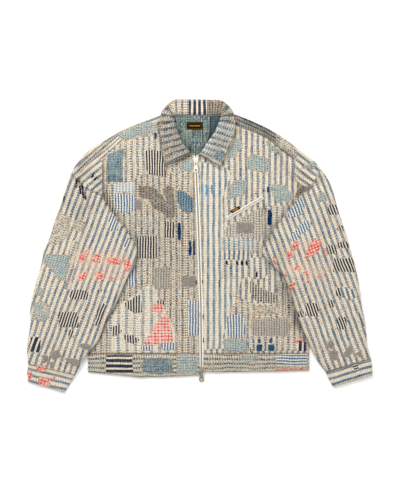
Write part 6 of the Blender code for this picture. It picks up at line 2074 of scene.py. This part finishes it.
def loose(x, y, angle, length, names, rng):
    """A loose end that starts on the cloth at (x, y)."""
    start = land(x, y, names)[0]
    bend, rise = rng.uniform(-0.14, 0.14), rng.uniform(0.2, 1.4)
    line = []
    for k in range(6):
        t = k / 5
        here = angle + bend * length * t * 0.35
        high = 0.35 + rise * math.sin(math.pi * t) * 0.8
        line.append(start + (math.cos(here) * length * t, math.sin(here) * length * t, high))
        line[-1][2] = max(line[-1][2] - 2.0 * t * t, 0.6)
    return line


# %% [markdown]
# The longest ends have places of their own, below: x, y, the direction they point in and their
# length. The others are scattered: some along each frayed rim, and a fringe of short wisps along
# the outer edge of each sleeve, where the cloth has rubbed most.
# %% Loose ends and the cord
WISPS = 44  # along the outer edge of each sleeve
FRAYED_FROM = 3  # the section of a sleeve at which its wisps begin
FRAY_PLACES = {
    "sleeve_right": [(-418, -18, -2.4, 12), (-402, -30, -1.9, 14), (-398, -34, -1.5, 10),
        (-424, 10, 3.3, 7), (-417, 190, 3.0, 9), (-404, 230, 2.9, 6), (-420, 150, 3.1, 7),
        (-380, -28, -1.8, 6), (-352, -36, -1.7, 5), (-330, 236, -1.2, 6), (-372, 262, -2.0, 7),
        (-419, 96, 3.2, 6)],
    "sleeve_left": [(433, 4, -0.6, 8), (420, 60, 0.1, 6), (404, 200, 0.2, 6), (300, 541, 1.2, 5),
        (384, 286, 0.3, 5), (366, 352, 0.4, 5), (196, 284, 2.8, 5)],
    "band": [(-272, 30, 3.0, 6), (-274, 14, 3.3, 7), (272, 40, 0.2, 6), (274, 20, -0.2, 7),
        (-140, -6, -1.6, 5), (-60, -5, -1.4, 5), (190, 6, -1.3, 5), (64, 5, -1.6, 4)],
    "right": [(-113, 545, 2.0, 5), (-52, 412, -2.2, 6), (-149, 466, 2.4, 5), (-190, 559, 1.0, 5)],
    "left": [(158, 452, 0.8, 5), (64, 300, -2.4, 6), (112, 485, 0.8, 5), (234, 452, 0.4, 5),
        (238, 470, 1.2, 6)],
}


def wisps(side, rng):
    """Short ends that stand out from the outer edge of a sleeve."""
    table = np.array(SLEEVES[side])[FRAYED_FROM:, :2]
    for _ in range(WISPS):
        k, share = rng.integers(len(table) - 1), rng.uniform()
        x, y = table[k] + (table[k + 1] - table[k]) * share
        outward = (0.0 if side > 0 else math.pi) + rng.uniform(-1.1, 1.1)
        yield x - side * 1.5, y, outward, rng.uniform(2.6, 5.5)


total = 0
for panel_name, wanted in FRAY_PLACES.items():
    rng = np.random.default_rng(len(panel_name) * 7)
    if panel_name.startswith("sleeve"):
        wanted = wanted + list(wisps(-1 if panel_name.endswith("right") else 1, rng))
    below = UNDER[panel_name]
    lines = [loose(x, y, angle, length, below, rng) for x, y, angle, length in wanted]
    for own, fabric, rim, seed in rims:
        if own != panel_name or fabric in UNFRAYED:
            continue
        for _ in range(max(3, len(rim) // 7)):
            x, y = rim[rng.integers(len(rim))]
            lines.append(loose(x, y, rng.uniform(0, 6.28), rng.uniform(2.5, 6.5), below, rng))
    total += len(lines)
    yarns = rng.choice([SAND, MILK, NAVY], len(lines), p=[0.4, 0.45, 0.15])
    strands("loose_" + panel_name, panel_name, lines, 0.26, yarns)
neck_line = [(29, 643), (29, 625), (29, 606), (27.5, 592), (23, 580), (16, 569), (8, 563)]
smooth = through([(x, y, x, y, 0, 0) for x, y in neck_line], 3.0)[:, :2]
cord_line = [land(x, y, ["shell_back"])[0] + (0, 0, 1.3) for x, y in smooth]
strands("cord_neck", "neck", [cord_line], 0.9, [NAVY])
print(total, "loose ends")

# %% [markdown] ## Sheets Every shell is a sheet of cloth that is laid on the one below. Its flat
# size is the box of its own pattern, and its area is measured on the pattern. The patches and the
# sewing on it go with it.
NARROWEST = 0.0105  # metres
for obj, flat_size, area, rests_on in sheets:
    if min(flat_size) < NARROWEST:
        on_panel.setdefault(rests_on[0], []).append(obj)
sheets = [sheet for sheet in sheets if min(sheet[1]) >= NARROWEST]
declared = [sheet[0] for sheet in sheets]
for obj, (wide, long), area, rests_on in sheets:
    area = min(area, wide * long)
    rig.sheet(obj, flat=(wide, long), held="laid", rests_on=rests_on or ["white_table"], area=area,
             with_pieces=[piece for piece in on_panel.get(obj.name, []) if piece not in declared])
    print(f"{obj.name}: {wide * 1000:.0f} x {long * 1000:.0f} mm, {area * 1e4:.0f} cm2")

# %% [markdown]
# Last, the meshes are counted as they will be drawn, with their modifiers.
# %% Count the triangles
graph = bpy.context.evaluated_depsgraph_get()
triangles = {}
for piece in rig.pieces():
    mesh = piece.evaluated_get(graph).to_mesh()
    mesh.calc_loop_triangles()
    triangles[piece.name] = len(mesh.loop_triangles)
print("triangles:", sum(triangles.values()), "most:", max(triangles.items(), key=lambda item: item[1]))

# %% [markdown]
# ## The table
# The table is painted a plain white. It reaches thirty metres each way, so that from a low
# angle it fades into the room and its edge never shows. A little light of its own keeps it
# white at the rim of the picture, as an overlit studio table is.
# %% Table
REACH = 30  # metres each way
table_top = bpy.data.meshes.new("white_table")
corners = [(-REACH, -REACH, 0), (REACH, -REACH, 0), (REACH, REACH, 0), (-REACH, REACH, 0)]
table_top.from_pydata(corners, [], [(0, 1, 2, 3)])
floor = bpy.data.objects.new("white_table", table_top)
scene.collection.objects.link(floor)
paint = bpy.data.materials.new("matt white table paint")
paint.use_nodes = True
tree = paint.node_tree
shader = tree.nodes["Principled BSDF"]
cloud = add(tree, "TexNoise", sockets={"Scale": 3.0, "Detail": 2.0})
colour = add(tree, "Mix", sockets={0: cloud, 6: dye("#F4F4F4"), 7: dye("#F6F6F6")}, **OVER)
tree.links.new(colour, shader.inputs["Base Color"])
shader.inputs["Roughness"].default_value = 0.85
shader.inputs["Emission Color"].default_value = (1.0, 1.0, 1.0, 1.0)
shader.inputs["Emission Strength"].default_value = 0.15
table_top.materials.append(paint)
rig.stage(floor)
print("table,", 2 * REACH, "m across")

# %% [markdown]
# Everything is in place. The sizes of the given solids and of what is now seen are written down,
# because cloth that is thicker than its solid, or a thread that reaches too far, shows up there.
# %% Sizes, and the end
low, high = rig.bounds()
with open("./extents.json", "w") as out:
    json.dump({"cad": [list(cad_low), list(cad_high)], "seen": [list(low), list(high)]}, out)
print("seen, in mm:", [round(v / MM, 1) for v in high - low])
